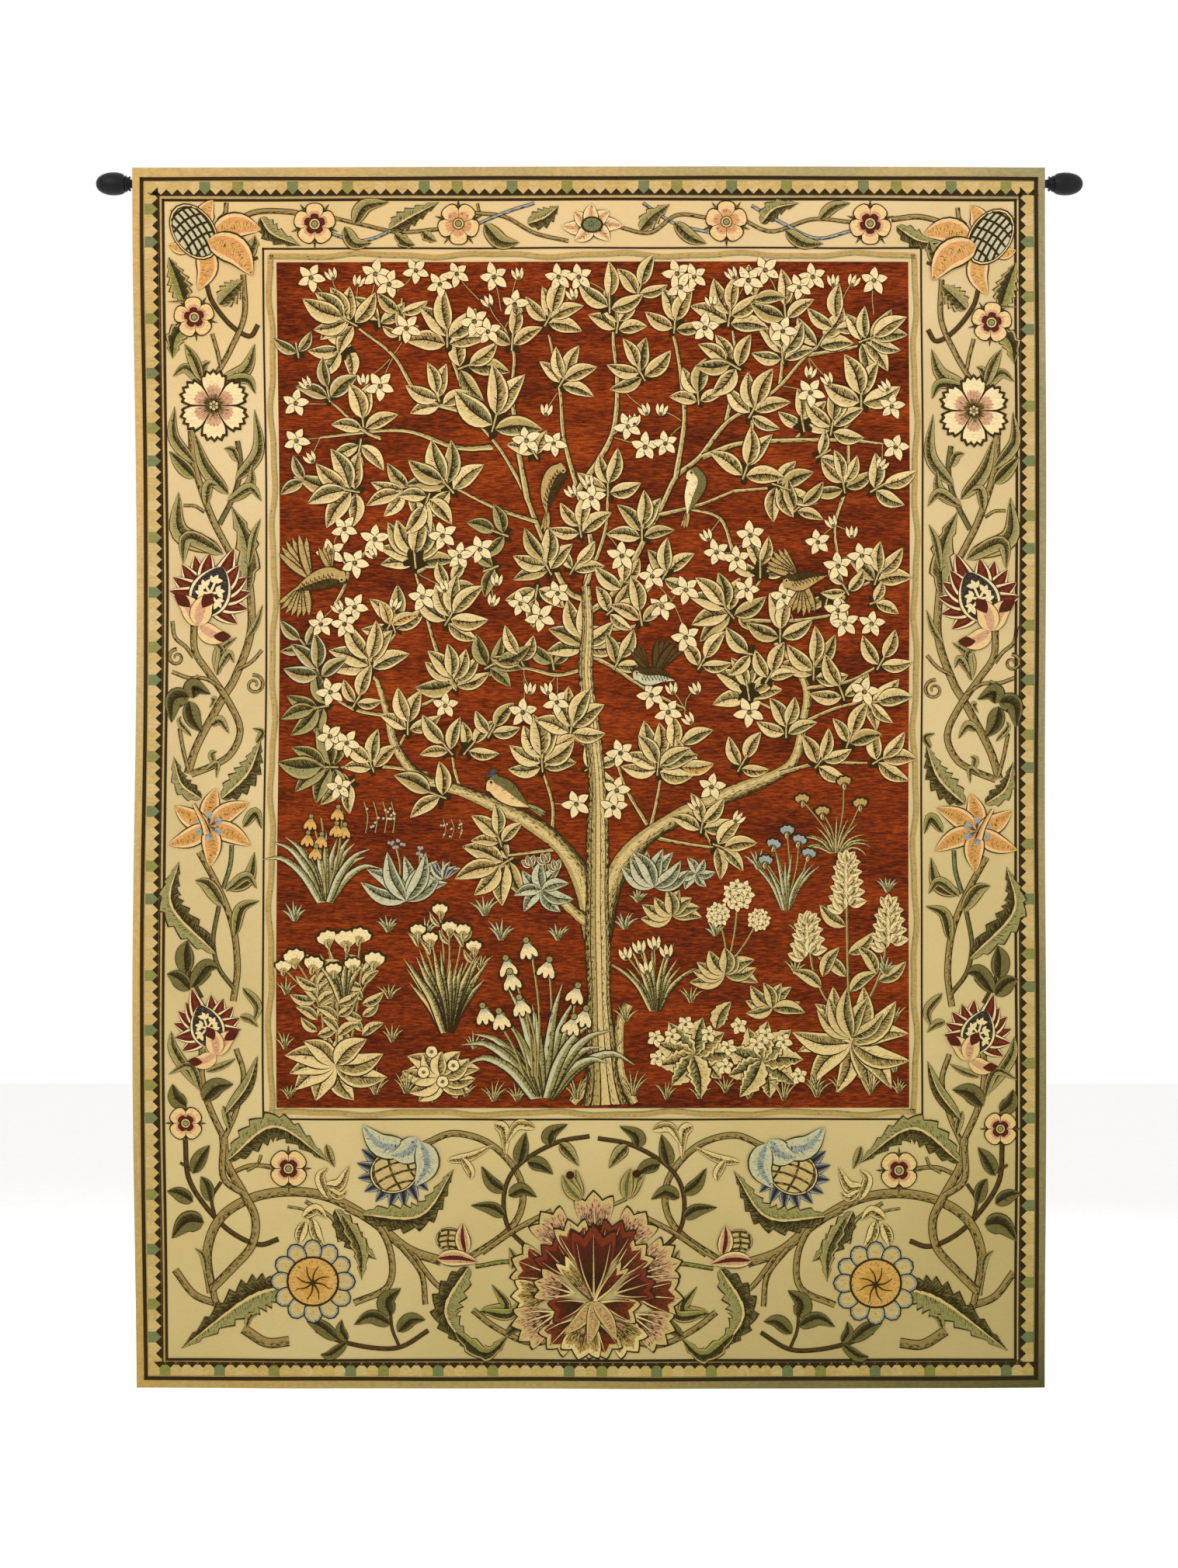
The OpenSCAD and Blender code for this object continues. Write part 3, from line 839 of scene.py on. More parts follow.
TWIGS = [
    [(-24, 90.5), (-30, 91.5), (-38, 91.5)], [(10, 81), (14, 80.2), (19, 79.5)],
    [(-4, 79.5), (-8, 79), (-12, 78.5)], [(-5.5, 82), (-5.5, 86), (-7, 91)],
    [(9, 82.5), (9.8, 86), (10.5, 90)], [(8.5, 83), (5.5, 88), (4, 92)],
    [(-0.8, 116), (-4, 118), (-8, 127), (-9.5, 131), (-11.5, 135), (-14, 139), (-18, 143.5)],
    [(-8, 127.5), (-14, 129.5), (-20, 132.5)],
    [(-0.5, 114), (4, 118), (10, 129), (12.5, 134), (16, 137), (20, 142), (24, 144.5), (28, 147.5),
     (32, 152), (36, 155)], [(16.5, 137), (22, 139), (30, 139.5), (38, 139.5), (43, 139)],
    [(10, 128.5), (16, 130), (21, 132)],
    [(-9.5, 131), (-11, 140), (-11.5, 147), (-11.2, 152), (-12.5, 156)],
    [(12.5, 134), (13.8, 142), (13.5, 148), (12.8, 153), (12, 156)],
    [(-14.5, 138.5), (-20, 138.5), (-28, 141), (-40, 140)],
    [(-18, 143.5), (-25, 146), (-29, 152), (-34, 156)], [(-18, 143.5), (-19.5, 149), (-21, 153)],
    [(-31, 139.8), (-33.5, 141), (-38, 145)], [(-34, 140), (-34.3, 136), (-34.5, 132)],
    [(-20, 132.5), (-26, 132), (-30, 133)],
    [(-0.8, 118), (0, 124), (-2, 132), (-4, 140), (-4.5, 147), (-6, 155)],
    [(-0.8, 118), (2, 126), (2.5, 132)], [(-2, 132), (3, 140), (4, 148), (3.5, 155), (5, 160)],
    [(20, 142), (21.5, 150), (21, 157)], [(24, 144.5), (23.5, 138), (22.5, 134)],
    [(30, 139.5), (31.5, 141)], [(38, 139.5), (38, 135), (37.5, 132)], [(36, 139.5), (40, 144)],
    [(32, 152), (38, 153), (42, 154)], [(28, 147.5), (28.5, 152), (29, 157)],
    [(-31.5, 104), (-32.5, 106), (-29, 111)], [(-30, 99), (-35, 100), (-40, 103)],
    [(-30, 99), (-24, 101), (-20, 103.5)], [(-20, 103), (-23, 109), (-26, 120)],
    [(-28.5, 94), (-27, 97)], [(31.5, 98), (36, 100), (40, 101)],
    [(32, 103), (38, 104), (42, 106)], [(26, 111), (22, 113), (25, 119)],
    [(31.5, 98), (27, 100), (23, 102)], [(28, 90.5), (34, 92), (41, 92)],
    [(-0.8, 106), (-5, 105), (-10, 106), (-15, 105)],
    [(-0.4, 108), (3.5, 106), (8, 103), (14, 100)], [(-0.6, 112), (6, 112), (12, 116)],
    [(0.6, 94), (-3, 96)], [(-38, 115), (-36, 120), (-38, 124)], [(-35, 121), (-32, 125)],
    [(-26, 120), (-20, 123), (-17, 124)], [(36, 114), (38, 117), (42, 119)],
    [(22, 113), (30, 113), (37, 114)], [(21, 132), (27, 132.5)],
    [(21, 123), (19, 128), (14, 129.5)], [(37.5, 132), (36, 127), (36.5, 122)],
    [(16, 85.5), (17, 82), (18, 80)], [(-19, 88), (-20, 91), (-20.5, 94)],
]
TWIG = [(-1, -0.6, "ink", 0.75, 0.75), (-0.6, 0.15, "leaf", 0.45, 0.3),
        (0.15, 0.65, "pale", 0.15, 0.1), (0.65, 1, "ink", 0.75, 0.75)]
for path in TWIGS:
    span = sum(math.dist(a, b) for a, b in zip(path[:-1], path[1:]))
    wide = 0.28 + 0.011 * span
    wood.append(bough(path, min(wide, 0.62), 0.24, TWIG, base=0.6))
on_cloth("tree_wood", wood)

# %% [markdown]
# ## The canopy
# The leaves are listed by spray: where the twig ends, how many leaves fan out, which way the
# middle one points, and how long it is. The list follows how dense the crown is in each part.

# %% Sprays of leaves
SPRAYS = [
    (-34.5, 156.5, 8, 150, 6), (-35.5, 153.5, 4, 205, 5.5), (-31, 156.5, 2, 95, 5),
    (-28, 154.5, 3, 90, 3.4), (-28, 158, 2, 80, 5), (-21, 153.5, 5, 90, 6), (-19.5, 150, 4, 20, 6),
    (-22, 144.5, 5, 110, 5.5), (-14.5, 141, 4, 75, 8), (-11.5, 153, 3, 85, 5.2),
    (-38.5, 145.5, 3, 100, 5), (-33.5, 141, 4, 95, 5.5), (-34, 139.5, 3, -100, 5),
    (-34.5, 132, 7, 170, 6.4), (-26.5, 132.5, 5, 200, 5), (-20.5, 132, 6, 130, 6.4),
    (-24, 131.5, 4, 250, 5), (-26, 121, 8, 95, 6), (-21.5, 117.5, 3, 60, 4.5),
    (-6.5, 156.5, 5, 60, 5.5), (3, 158.5, 3, 90, 5.5), (4, 155.5, 4, 80, 5), (7, 160.5, 3, 70, 5),
    (12.5, 155.5, 4, 85, 5.4), (-4.5, 147.5, 5, 60, 5), (8, 148.5, 5, 120, 5.4),
    (-8, 137, 2, 120, 4.6), (2.5, 131.5, 4, 90, 5.2), (-1.5, 125.5, 4, 100, 5.2),
    (-3, 120, 3, 60, 4.6), (-6, 120, 5, 120, 6), (7.5, 125, 5, 90, 5.2), (10.5, 119, 4, 60, 5),
    (4.5, 117, 4, 80, 5), (20.5, 156.5, 5, 80, 6), (29, 157, 3, 95, 6), (24, 160, 2, 60, 5),
    (33.5, 153, 3, 60, 5), (36, 155.5, 3, 80, 5.5), (40, 154, 8, 20, 5.6), (22, 150, 5, 150, 5.5),
    (28.5, 151, 5, 95, 5.4), (16, 145, 4, 95, 4.8), (23.5, 143, 5, 60, 5.4),
    (31.5, 141, 3, 100, 4.8), (35.5, 140.5, 6, 80, 5.6), (40, 144.5, 4, 90, 6),
    (22.5, 134, 4, 70, 6), (27, 133, 5, -20, 5.4), (33.5, 137, 2, 30, 4.5),
    (37.5, 132, 5, 100, 5), (41.5, 132, 3, 30, 5.5), (25, 119.5, 4, 90, 5), (42, 118.5, 4, 70, 5.2),
    (38, 117, 3, 120, 4), (-21.5, 112.5, 6, 60, 6), (-29, 111.5, 4, 110, 5.2),
    (-32.5, 105.5, 6, 100, 6.2), (-40, 104.5, 4, 110, 5.2), (-35, 100.5, 3, 60, 4.5),
    (-20, 103, 8, 110, 5.6), (-27, 96.5, 4, 90, 5.2), (-20.5, 93.5, 3, 130, 5),
    (-18.5, 93.5, 3, 50, 5), (-32, 91, 4, 110, 5), (-35, 89.5, 3, 220, 4.5),
    (-21.5, 87, 3, 160, 6), (-13, 80, 4, 110, 5), (-11.5, 78, 6, 210, 6.4), (-7, 91, 7, 95, 6),
    (-3, 96, 6, 80, 6), (-0.5, 91, 3, 30, 4.4), (-1, 108.5, 6, 100, 5.8), (3.5, 106, 3, 60, 4.6),
    (7.5, 112.5, 3, 100, 5), (2.5, 114, 4, 40, 4.6), (-8, 118, 3, 260, 5), (-10, 106.5, 3, 120, 4.6),
    (10, 90.5, 9, 85, 6), (21, 113.5, 7, 130, 6.2), (28, 110, 4, 90, 5.4), (24, 108, 2, 170, 5),
    (23.5, 101.5, 6, 100, 5.6), (33, 104.5, 5, 90, 5.8), (37.5, 101.5, 3, 110, 5.2),
    (42.5, 106, 3, 60, 4.8), (40.5, 101, 5, 0, 5), (29, 96, 4, 90, 5), (38, 94.5, 3, 70, 5),
    (33.5, 91.5, 4, 50, 5.2), (22, 91, 3, 60, 5), (42, 92, 4, 30, 5.2), (16.5, 82, 4, 80, 5),
    (18.5, 80, 4, -20, 5.2), (35, 117, 2, 260, 4.5), (41.5, 115.5, 2, 20, 4),
    (-42, 133.5, 2, 160, 4), (30, 129, 3, 40, 4.5), (-43, 152, 2, 100, 4), (16, 106, 3, 60, 4.6),
    (-15, 96, 3, 60, 4.6), (-42, 109, 3, 130, 4.5), (12, 94, 3, 30, 5), (26, 104, 3, 60, 4.6),
]
GREEN_SPRAYS = [(-12.5, 125.5, 3, 160, 5), (-39, 100.5, 5, 190, 5.4), (-15.5, 106, 5, 30, 5),
                (-37.5, 91.5, 7, 180, 6), (-5.5, 106, 2, 100, 4.5), (-14, 121, 2, 200, 4.5)]
GOLDEN_SPRAYS = [(-5.5, 93.5, 3, 90, 4.6), (13, 91, 2, 50, 5), (-30, 112, 2, 60, 4.5)]
for number, part in enumerate((SPRAYS[:34], SPRAYS[34:68], SPRAYS[68:])):
    figures = [f for x, z, n, way, size in part
               for f in spray(x, z, way, n, size, bands=COOLER if x < -36 else None)]
    on_cloth(f"canopy_leaves_{number + 1}", figures)
figures = [f for x, z, n, way, size in GREEN_SPRAYS for f in spray(x, z, way, n, size, bands=GREEN)]
figures += [f for x, z, n, way, size in GOLDEN_SPRAYS
            for f in spray(x, z, way, n, size, bands=GOLDEN)]
on_cloth("canopy_leaves_4", figures)

# %% [markdown]
# ## The blossom
# White star flowers stand between the leaves, each on a thin stalk, with closed buds by them.

# %% Star flowers and buds
STARS = [
    (-41, 163.5), (-31.5, 164), (-29.5, 162.5), (-25.5, 164.5), (-22, 162.5), (-19.5, 164),
    (-14, 163.5), (-11, 159.5), (-17, 157), (-15, 155.5), (-27, 156), (-43.5, 145), (-31, 147.5),
    (-43.5, 139.5), (-36.5, 126.5), (-32, 125), (-38.5, 123), (-35, 121.5), (-22, 125.5),
    (-19.5, 122.5), (-16.5, 123.5), (-4.5, 163.5), (-1.5, 163.5), (-9.5, 139.5), (-5.5, 139),
    (0, 131), (4.5, 122.5), (9, 119.5), (13, 164), (15.5, 163.5), (23.5, 163), (26, 164.5),
    (33, 163.5), (31, 162), (42, 163), (13.5, 162), (17, 156), (28.5, 155.5), (32.5, 146.5),
    (44.5, 144.5), (45, 138.5), (8, 138.5), (11, 139), (5.5, 141.5), (23.5, 125.5), (18.5, 123),
    (21.5, 122), (33.5, 124.5), (36.5, 121), (40, 122.5), (14, 117.5), (10.5, 115), (14, 110.5),
    (28.5, 116.5), (23, 117.5), (36.5, 114.5), (37.5, 112.5), (41.5, 112.5), (40.5, 102.5),
    (9, 102), (11.5, 99.5), (23.5, 99.5), (18, 88.5), (4, 88), (4.5, 93.5), (3.5, 85.5), (-2, 86),
    (-38.5, 102.5), (-21.5, 100.5), (-25, 116.5), (-35, 115), (-40, 112.5), (-36.5, 112.5),
    (-10.5, 115.5), (-5, 117), (-7.5, 113.5), (-10, 99.5), (-5, 101), (-37, 88.5), (-38.5, 96),
    (-36, 95),
]
BUDS = [
    (-38, 164), (-34, 163), (-10.5, 164), (-15, 160), (-42, 148), (-33.5, 148.5), (-41.5, 137),
    (-32.5, 123), (-2.5, 161), (-6.5, 144), (-3, 132), (-0.5, 133.5), (21, 164), (36, 163),
    (39, 163), (18, 160), (32.5, 149.5), (35, 148.5), (43.5, 147.5), (43, 136), (8, 144),
    (6.5, 142.5), (10.5, 144), (17, 125.5), (35.5, 127.5), (38.5, 126), (14.5, 98.5), (12, 103),
    (15.5, 103), (15.5, 86), (22, 84), (-37.5, 115), (-9, 103), (-6.5, 103), (-29, 115.5),
    (-22, 118), (-14.5, 116), (-14, 119),
]
figures = []
for x, z in STARS + BUDS:
    foot = min((p for path in TWIGS for p in path), key=lambda p: math.dist(p, (x, z)))
    reach = math.dist(foot, (x, z))
    share = min(1.0, 5.0 / max(reach, 0.1))
    start = (x + (foot[0] - x) * share, z + (foot[1] - z) * share)
    middle = ((x + start[0]) / 2 + chance.uniform(-0.5, 0.5), (z + start[1]) / 2)
    if reach > 1.5:
        figures.append(strip([start, middle, (x, z)], 0.11, [(-1, 0, "umber", 0.7, 0.5),
                                                             (0, 1, "leaf", 0.3, 0.1)],
                             n=7, lift=level(0.5), along=True))
for x, z in STARS:
    figures += blossom(x, z, chance.uniform(1.95, 2.3), chance.uniform(0, 72))
for x, z in BUDS:
    figures += bud(x, z, chance.uniform(50, 130))
on_cloth("star_blossom", figures)

# %% [markdown]
# ## Border ornament
# The cream border carries big scrolling stems with curled and toothed leaves and a different
# flower at each turn. The same cartoon is turned over for the other side, as weavers did, so
# the left half is drawn once and mirrored. The flowers are of a few kinds: a rose with round
# petals, a carnation with cut petals, a lily with pointed ones, a lotus with a patterned heart,
# and heads with a lattice on them.

# %% Parts of a border flower
OLIVE = halves("moss", "sage", rim="leaf", deep=0.75, line="umber")
DEEP = halves("pine", "olive", rim="leaf", deep=0.8, line="umber")
DARK = halves("pine", "moss", rim="moss", deep=0.9, thin=0.09)
SPLIT = [(-1, -0.9, "ink", 0.9, 0.9), (-0.9, -0.10, "moss", 0.45, 0.85),
         (-0.10, 0.08, "pale", 0.0, 0.0), (0.08, 0.88, "sage", 0.45, 0.15),
         (0.88, 1, "umber", 0.7, 0.7)]
BORDER = {"olive": OLIVE, "deep": DEEP, "dark": DARK, "split": SPLIT, "pale": CANOPY[2]}


def blade(path, width, kind="olive", teeth=0):
    """A long leaf along a path; teeth cuts its edge."""
    profile = toothed(width, teeth, 0.55, 0.7) if teeth else swell(width, 0.7, 0.85)
    return strip(path, profile, BORDER[kind], n=5 * teeth + 1 if teeth else 13,
                 lift=level(1.0))


def oval(a, b):
    """Reach of an ellipse with half axes a and b: a b / sqrt((b cos)^2 + (a sin)^2)."""
    return lambda t: a * b / np.hypot(b * np.cos(np.pi * t), a * np.sin(np.pi * t))


def petal(x, z, angle, spread, reach, rings, ruff=0, base=1.3, n=13, droop=0.25):
    """A broad petal: a dark fan, and on it the coloured one, a line's width smaller."""
    def rim(t):
        cut = np.abs(ruff * (t + 1) % 2 - 1) * 0.10 if ruff else 0
        return reach * (1 - droop * t ** 4) * (1 - cut)
    at = level(base)
    back = fan(x, z, angle, spread + 22 / reach ** 0.5 / 3, lambda t: rim(t) + 0.15,
               [(0.06, 1, "umber", 0.8, 0.8)], n, at)
    return [back, fan(x, z, angle, spread, rim, rings, n, at + 0.25)]


def rose(x, z, r, petals=5, turn=90, heart="maroon", body="peach"):
    """Round petals, dark towards the middle, and a seed head with a ring."""
    rings = [(0.14, 0.30, "umber", 0.4, 0.2), (0.30, 0.52, heart, 0.2, 0.3),
             (0.52, 0.66, "rose", 0.35, 0.1), (0.66, 1, body, 0.12, 0.0)]
    figures = []
    for k in range(petals):
        figures += petal(x, z, turn + 360 * k / petals, 172 / petals, r, rings, n=9, droop=0.3)
    for k in range(petals):
        way = turn + 360 * (k + 0.5) / petals
        figures.append(strip(curve(x, z, way, 1.22 * r, 0), swell(0.10 * r), [(-1, 1, "moss",
                                                                          0.6, 0.6)],
                             n=5, lift=level(0.9)))
    seed = [(0.04, 0.45, "sage", 0.3, 0.2), (0.45, 0.60, "ink", 0.8, 0.8),
            (0.60, 0.85, "pale", 0.3, 0.1), (0.85, 1.0, "ink", 0.8, 0.8)]
    figures.append(fan(x, z, 0, 180, 0.30 * r, seed, 13, level(2.0)))
    return figures


def carnation(x, z, r):
    """Six cut petals, cream at the edge and shaded towards the middle."""
    rings = [(0.12, 0.34, "tan", 0.9, 0.5), (0.34, 0.60, "rose", 0.45, 0.12),
             (0.60, 0.93, "ivory", 0.10, 0.0), (0.93, 1, "umber", 0.6, 0.6)]
    figures = []
    for k in range(6):
        figures += petal(x, z, 90 + 60 * k, 27, r, rings, ruff=5, n=21)
    for k in range(6):
        spot = math.radians(60 * k + 30)
        figures.append(fan(x + 0.5 * math.cos(spot), z + 0.5 * math.sin(spot), 0, 180, 0.33,
                           [(0.1, 0.7, "pale", 0.2, 0.2), (0.7, 1, "ink", 0.8, 0.8)], 7,
                           level(2.0)))
    return figures


def pointed(x, z, angle, length, width, rim, body, heart, base=1.3, bend=0.06):
    """A pointed petal: line, light rim, body shaded to a darker heart, and back again."""
    bands = [(-1, -0.88, "umber", 0.85, 0.85), (-0.88, -0.62, rim, 0.0, 0.1),
             (-0.62, -0.25, body, 0.2, 0.3), (-0.25, 0.25, heart, 0.35, 0.35),
             (0.25, 0.62, body, 0.3, 0.2), (0.62, 0.88, rim, 0.1, 0.0),
             (0.88, 1, "umber", 0.85, 0.85)]
    return strip(curve(x, z, angle, length, bend), swell(width, 0.75, 0.8), bands, n=11,
                 lift=level(base))


def lily(x, z, r):
    """Six pointed gold petals with a blue throat and a long pistil."""
    figures = [pointed(x, z, way, r * far, 0.26 * r, "peach", "apricot", "gold")
               for way, far in ((80, 0.95), (30, 1.15), (150, 1.0), (-25, 1.15), (205, 1.1),
                                (-88, 1.0))]
    throat = [(0.05, 0.5, "denim", 0.6, 0.45), (0.5, 1.0, "blue", 0.5, 0.05)]
    figures += [fan(x, z, way, 15, 0.34 * r, throat, 6, level(1.7)) for way in range(-150, 200, 60)]
    figures.append(strip([(x - 0.3, z - 1.2), (x - 0.9, z + 0.6), (x - 2.3, z + 3.2)],
                         lambda u: 0.62 - 0.35 * u, [(-1, -0.7, "umber", 0.8, 0.8),
                                                     (-0.7, 0.0, "apricot", 0.3, 0.1),
                                                     (0.0, 0.7, "peach", 0.0, 0.0),
                                                     (0.7, 1, "umber", 0.8, 0.8)],
                         n=9, lift=level(2.0)))
    return figures


def tipped(x, z, angle, length, width, base=2.3, bend=0.1):
    """A broad pink petal whose point is dark red."""
    line = np.array(curve(x, z, angle, length, bend))
    body = [(-1, -0.93, "umber", 0.9, 0.9), (-0.93, -0.3, "peach", 0.0, 0.1),
            (-0.3, 0.5, "rose", 0.25, 0.15), (0.5, 0.93, "peach", 0.1, 0.0),
            (0.93, 1, "umber", 0.9, 0.9)]
    profile = lambda u: width * np.clip(np.sin(np.pi * u ** 0.7), 0, 1) ** 0.8 + 0.02
    figures = [strip(line, profile, body, n=13, lift=level(base))]
    point = smooth_line(line, 31)[15:]
    top = lambda u: profile(0.5 + 0.5 * u) * np.minimum(1.02, 1.7 * u)
    figures.append(strip(point[::3], top, [(-1, 1, "maroon", 0.35, 0.5)], n=12,
                         lift=figures[0]["lift"][0] + 0.2))
    return figures


def lotus(x, z, r, lean=0):
    """Short maroon petals with cream rims round a navy heart that ends in a point, white
    sprigs on the heart, and three pink petals in front."""
    figures = []
    for way in (-48, -22, 2, 24, 44, 90, 112, 134, 156, 176):
        figures.append(pointed(x, z, way + lean, 1.72 * r, 0.44 * r, "ivory", "maroon", "brick",
                               base=1.1, bend=0.08 if way > 64 else -0.08))
    figures.append(pointed(x, z, 62 + lean, 2.15 * r, 0.46 * r, "ivory", "maroon", "brick",
                           base=1.1, bend=-0.05))
    out = math.radians(65 + lean)
    foot = (x - 1.05 * r * math.cos(out), z - 1.05 * r * math.sin(out))
    heart = [(-1, -0.95, "ink", 0.9, 0.9), (-0.95, -0.83, "ivory", 0.0, 0.0),
             (-0.83, 0.83, "denim", 0.72, 0.72), (0.83, 0.95, "ivory", 0.0, 0.0),
             (0.95, 1, "ink", 0.9, 0.9)]
    figures.append(strip(curve(*foot, 65 + lean, 2.3 * r, 0.0),
                         lambda u: 0.90 * r * np.clip(np.sin(np.pi * u ** 0.85), 0, 1) ** 0.68,
                         heart, n=22, lift=level(1.8)))
    white = [(-1, 1, "ivory", 0.12, 0.12)]
    for way, length in ((66, 0.52), (8, 0.30), (118, 0.34), (-52, 0.42), (170, 0.30), (240, 0.40)):
        turn = math.radians(way + lean)
        end = (x + length * r * math.cos(turn), z + length * r * math.sin(turn))
        figures.append(strip([(x, z), end], 0.05 * r, white, n=4, lift=level(2.2)))
        for side in (-55, 0, 55):
            figures.append(strip(curve(*end, way + side + lean, 0.34 * r, 0.1),
                                 swell(0.095 * r, 0.8), white, n=6, lift=level(2.2)))
    low = (x - 0.72 * r * math.cos(out - 0.3), z - 1.35 * r)
    figures += tipped(*low, 128 + lean, 1.65 * r, 0.46 * r, bend=-0.12)
    figures += tipped(*low, -18 + lean, 1.45 * r, 0.42 * r, bend=-0.14)
    figures += tipped(*low, 66 + lean, 1.5 * r, 0.48 * r, base=2.8)
    return figures


def lattice(x, z, a, b, turn, field, line, cells=4, base=1.8):
    """A seed head: an oval with slanting lines across it both ways."""
    rings = [(0.03, 0.90, field, 0.25, 0.10), (0.90, 0.95, line, 0.9, 0.9),
             (0.95, 1.0, "cream", 0.0, 0.0), (1.0, 1.05, "ink", 0.9, 0.9)]
    figures = [fan(x, z, turn, 180, oval(a, b), rings, 26, level(base))]
    way = math.radians(turn)
    for tilt, count in ((0, cells + 1), (90, cells)):
        for place in np.linspace(-0.72, 0.72, count):
            reach = math.sqrt(1 - place ** 2) * 0.88
            u = np.linspace(-reach, reach, 5)
            v = place + 0.12 * (1 - (u / max(reach, 0.1)) ** 2) * (-1 if tilt else 1)
            along, across = (u, v) if tilt == 0 else (v, u)
            path = np.stack([x + a * along * math.cos(way) - b * across * math.sin(way),
                             z + a * along * math.sin(way) + b * across * math.cos(way)], axis=1)
            figures.append(strip(path, 0.16, [(-1, 1, line, 0.7, 0.7)], n=9,
                                 lift=level(base + 0.35), along=True))
    return figures


def spiral(x, z, r, turns, start, way=1):
    """A tendril wound towards its middle: radius falls evenly as the angle grows."""
    t = np.linspace(0, 1, 14)
    angle = math.radians(start) + way * 2 * np.pi * turns * t
    path = np.stack([x + r * (1 - 0.8 * t) * np.cos(angle),
                     z + r * (1 - 0.8 * t) * np.sin(angle)], axis=1)
    return stem(path, 0.28, n=34, tip=0.16)


def mirrored(figures, middle=0.5, down=0.8):
    """The same figures turned over about the line x = middle, and a little lower."""
    turned = []
    for f in figures:
        twin = dict(f)
        twin["xz"] = np.stack([2 * middle - f["xz"][:, 0], f["xz"][:, 1] - down], axis=1)
        twin["lift"] = f["lift"] + 0.005
        turned.append(twin)
    return turned

# %% [markdown]
# ## The side border
# From the top: a lattice cone with gold petals, a rose, a carnation, a lotus, a lily, a second
# lotus and a small rose, all on stems that cross and part. Each row below is one stem, with its
# half width and yarn (bark if none is named), or one leaf, with its kind (olive if none is
# named) and its number of teeth.

# %% Side border, drawn once and mirrored
SIDE_STEMS = [
    ([(-56.5, 163), (-55.6, 160), (-53, 156.6), (-50.2, 154.9), (-48.9, 156.6)], 0.36, "umber"),
    ([(-51, 164), (-50.9, 158), (-53, 153), (-55, 149.5)], 0.42),
    ([(-55.7, 155.3), (-55, 152.8), (-54.6, 150.8)], 0.30),
    ([(-59, 141), (-58.8, 137), (-57.8, 133), (-56, 128), (-53.2, 122.5)], 0.52),
    ([(-52.2, 139.5), (-51.8, 136), (-52.6, 132), (-55, 127.2)], 0.40, "moss"),
    ([(-60.3, 130), (-58.6, 129.9), (-57.2, 129)], 0.26),
    ([(-50.9, 122), (-50.3, 112), (-52.5, 105), (-54.5, 101.5), (-58, 95), (-59.5, 90.5)],
     0.60),
    ([(-58.8, 112.5), (-58.6, 108.5), (-56.5, 105.3), (-53.5, 101), (-51.8, 97), (-53, 93.6),
      (-55.5, 91.8), (-59, 90.4)], 0.52),
    ([(-62, 105.5), (-59.5, 104.6), (-57, 104.5), (-54.6, 103)], 0.30),
    ([(-60.4, 101.8), (-59.8, 103.9), (-58, 104.9)], 0.26),
    ([(-62, 113), (-61.6, 110.6), (-60, 109.2), (-58.8, 107.6)], 0.30),
    ([(-52.2, 105.8), (-50.2, 107), (-48.7, 108.7)], 0.28),
    ([(-60.8, 97.2), (-60.2, 94), (-59.4, 91)], 0.30),
    ([(-57.6, 79), (-54.6, 73.5), (-52.5, 68), (-51.8, 62), (-52.4, 57)], 0.50),
    ([(-52.8, 80), (-53, 77), (-54, 73.6)], 0.34, "jade"),
    ([(-54.6, 71), (-55.4, 66), (-54.6, 62), (-52.4, 59)], 0.34, "moss"),
    ([(-59.4, 65.5), (-58.8, 61), (-57, 57.5)], 0.28, "umber"),
    ([(-57, 50), (-57.1, 46), (-56.2, 42), (-54, 37)], 0.50),
    ([(-52, 50), (-50.9, 46), (-52, 41), (-54, 36.4)], 0.40),
    ([(-48.8, 166.5), (-51, 165.5)], 0.24, "umber"),
    ([(-53.4, 174.6), (-53.6, 173), (-54.6, 172)], 0.34),
]
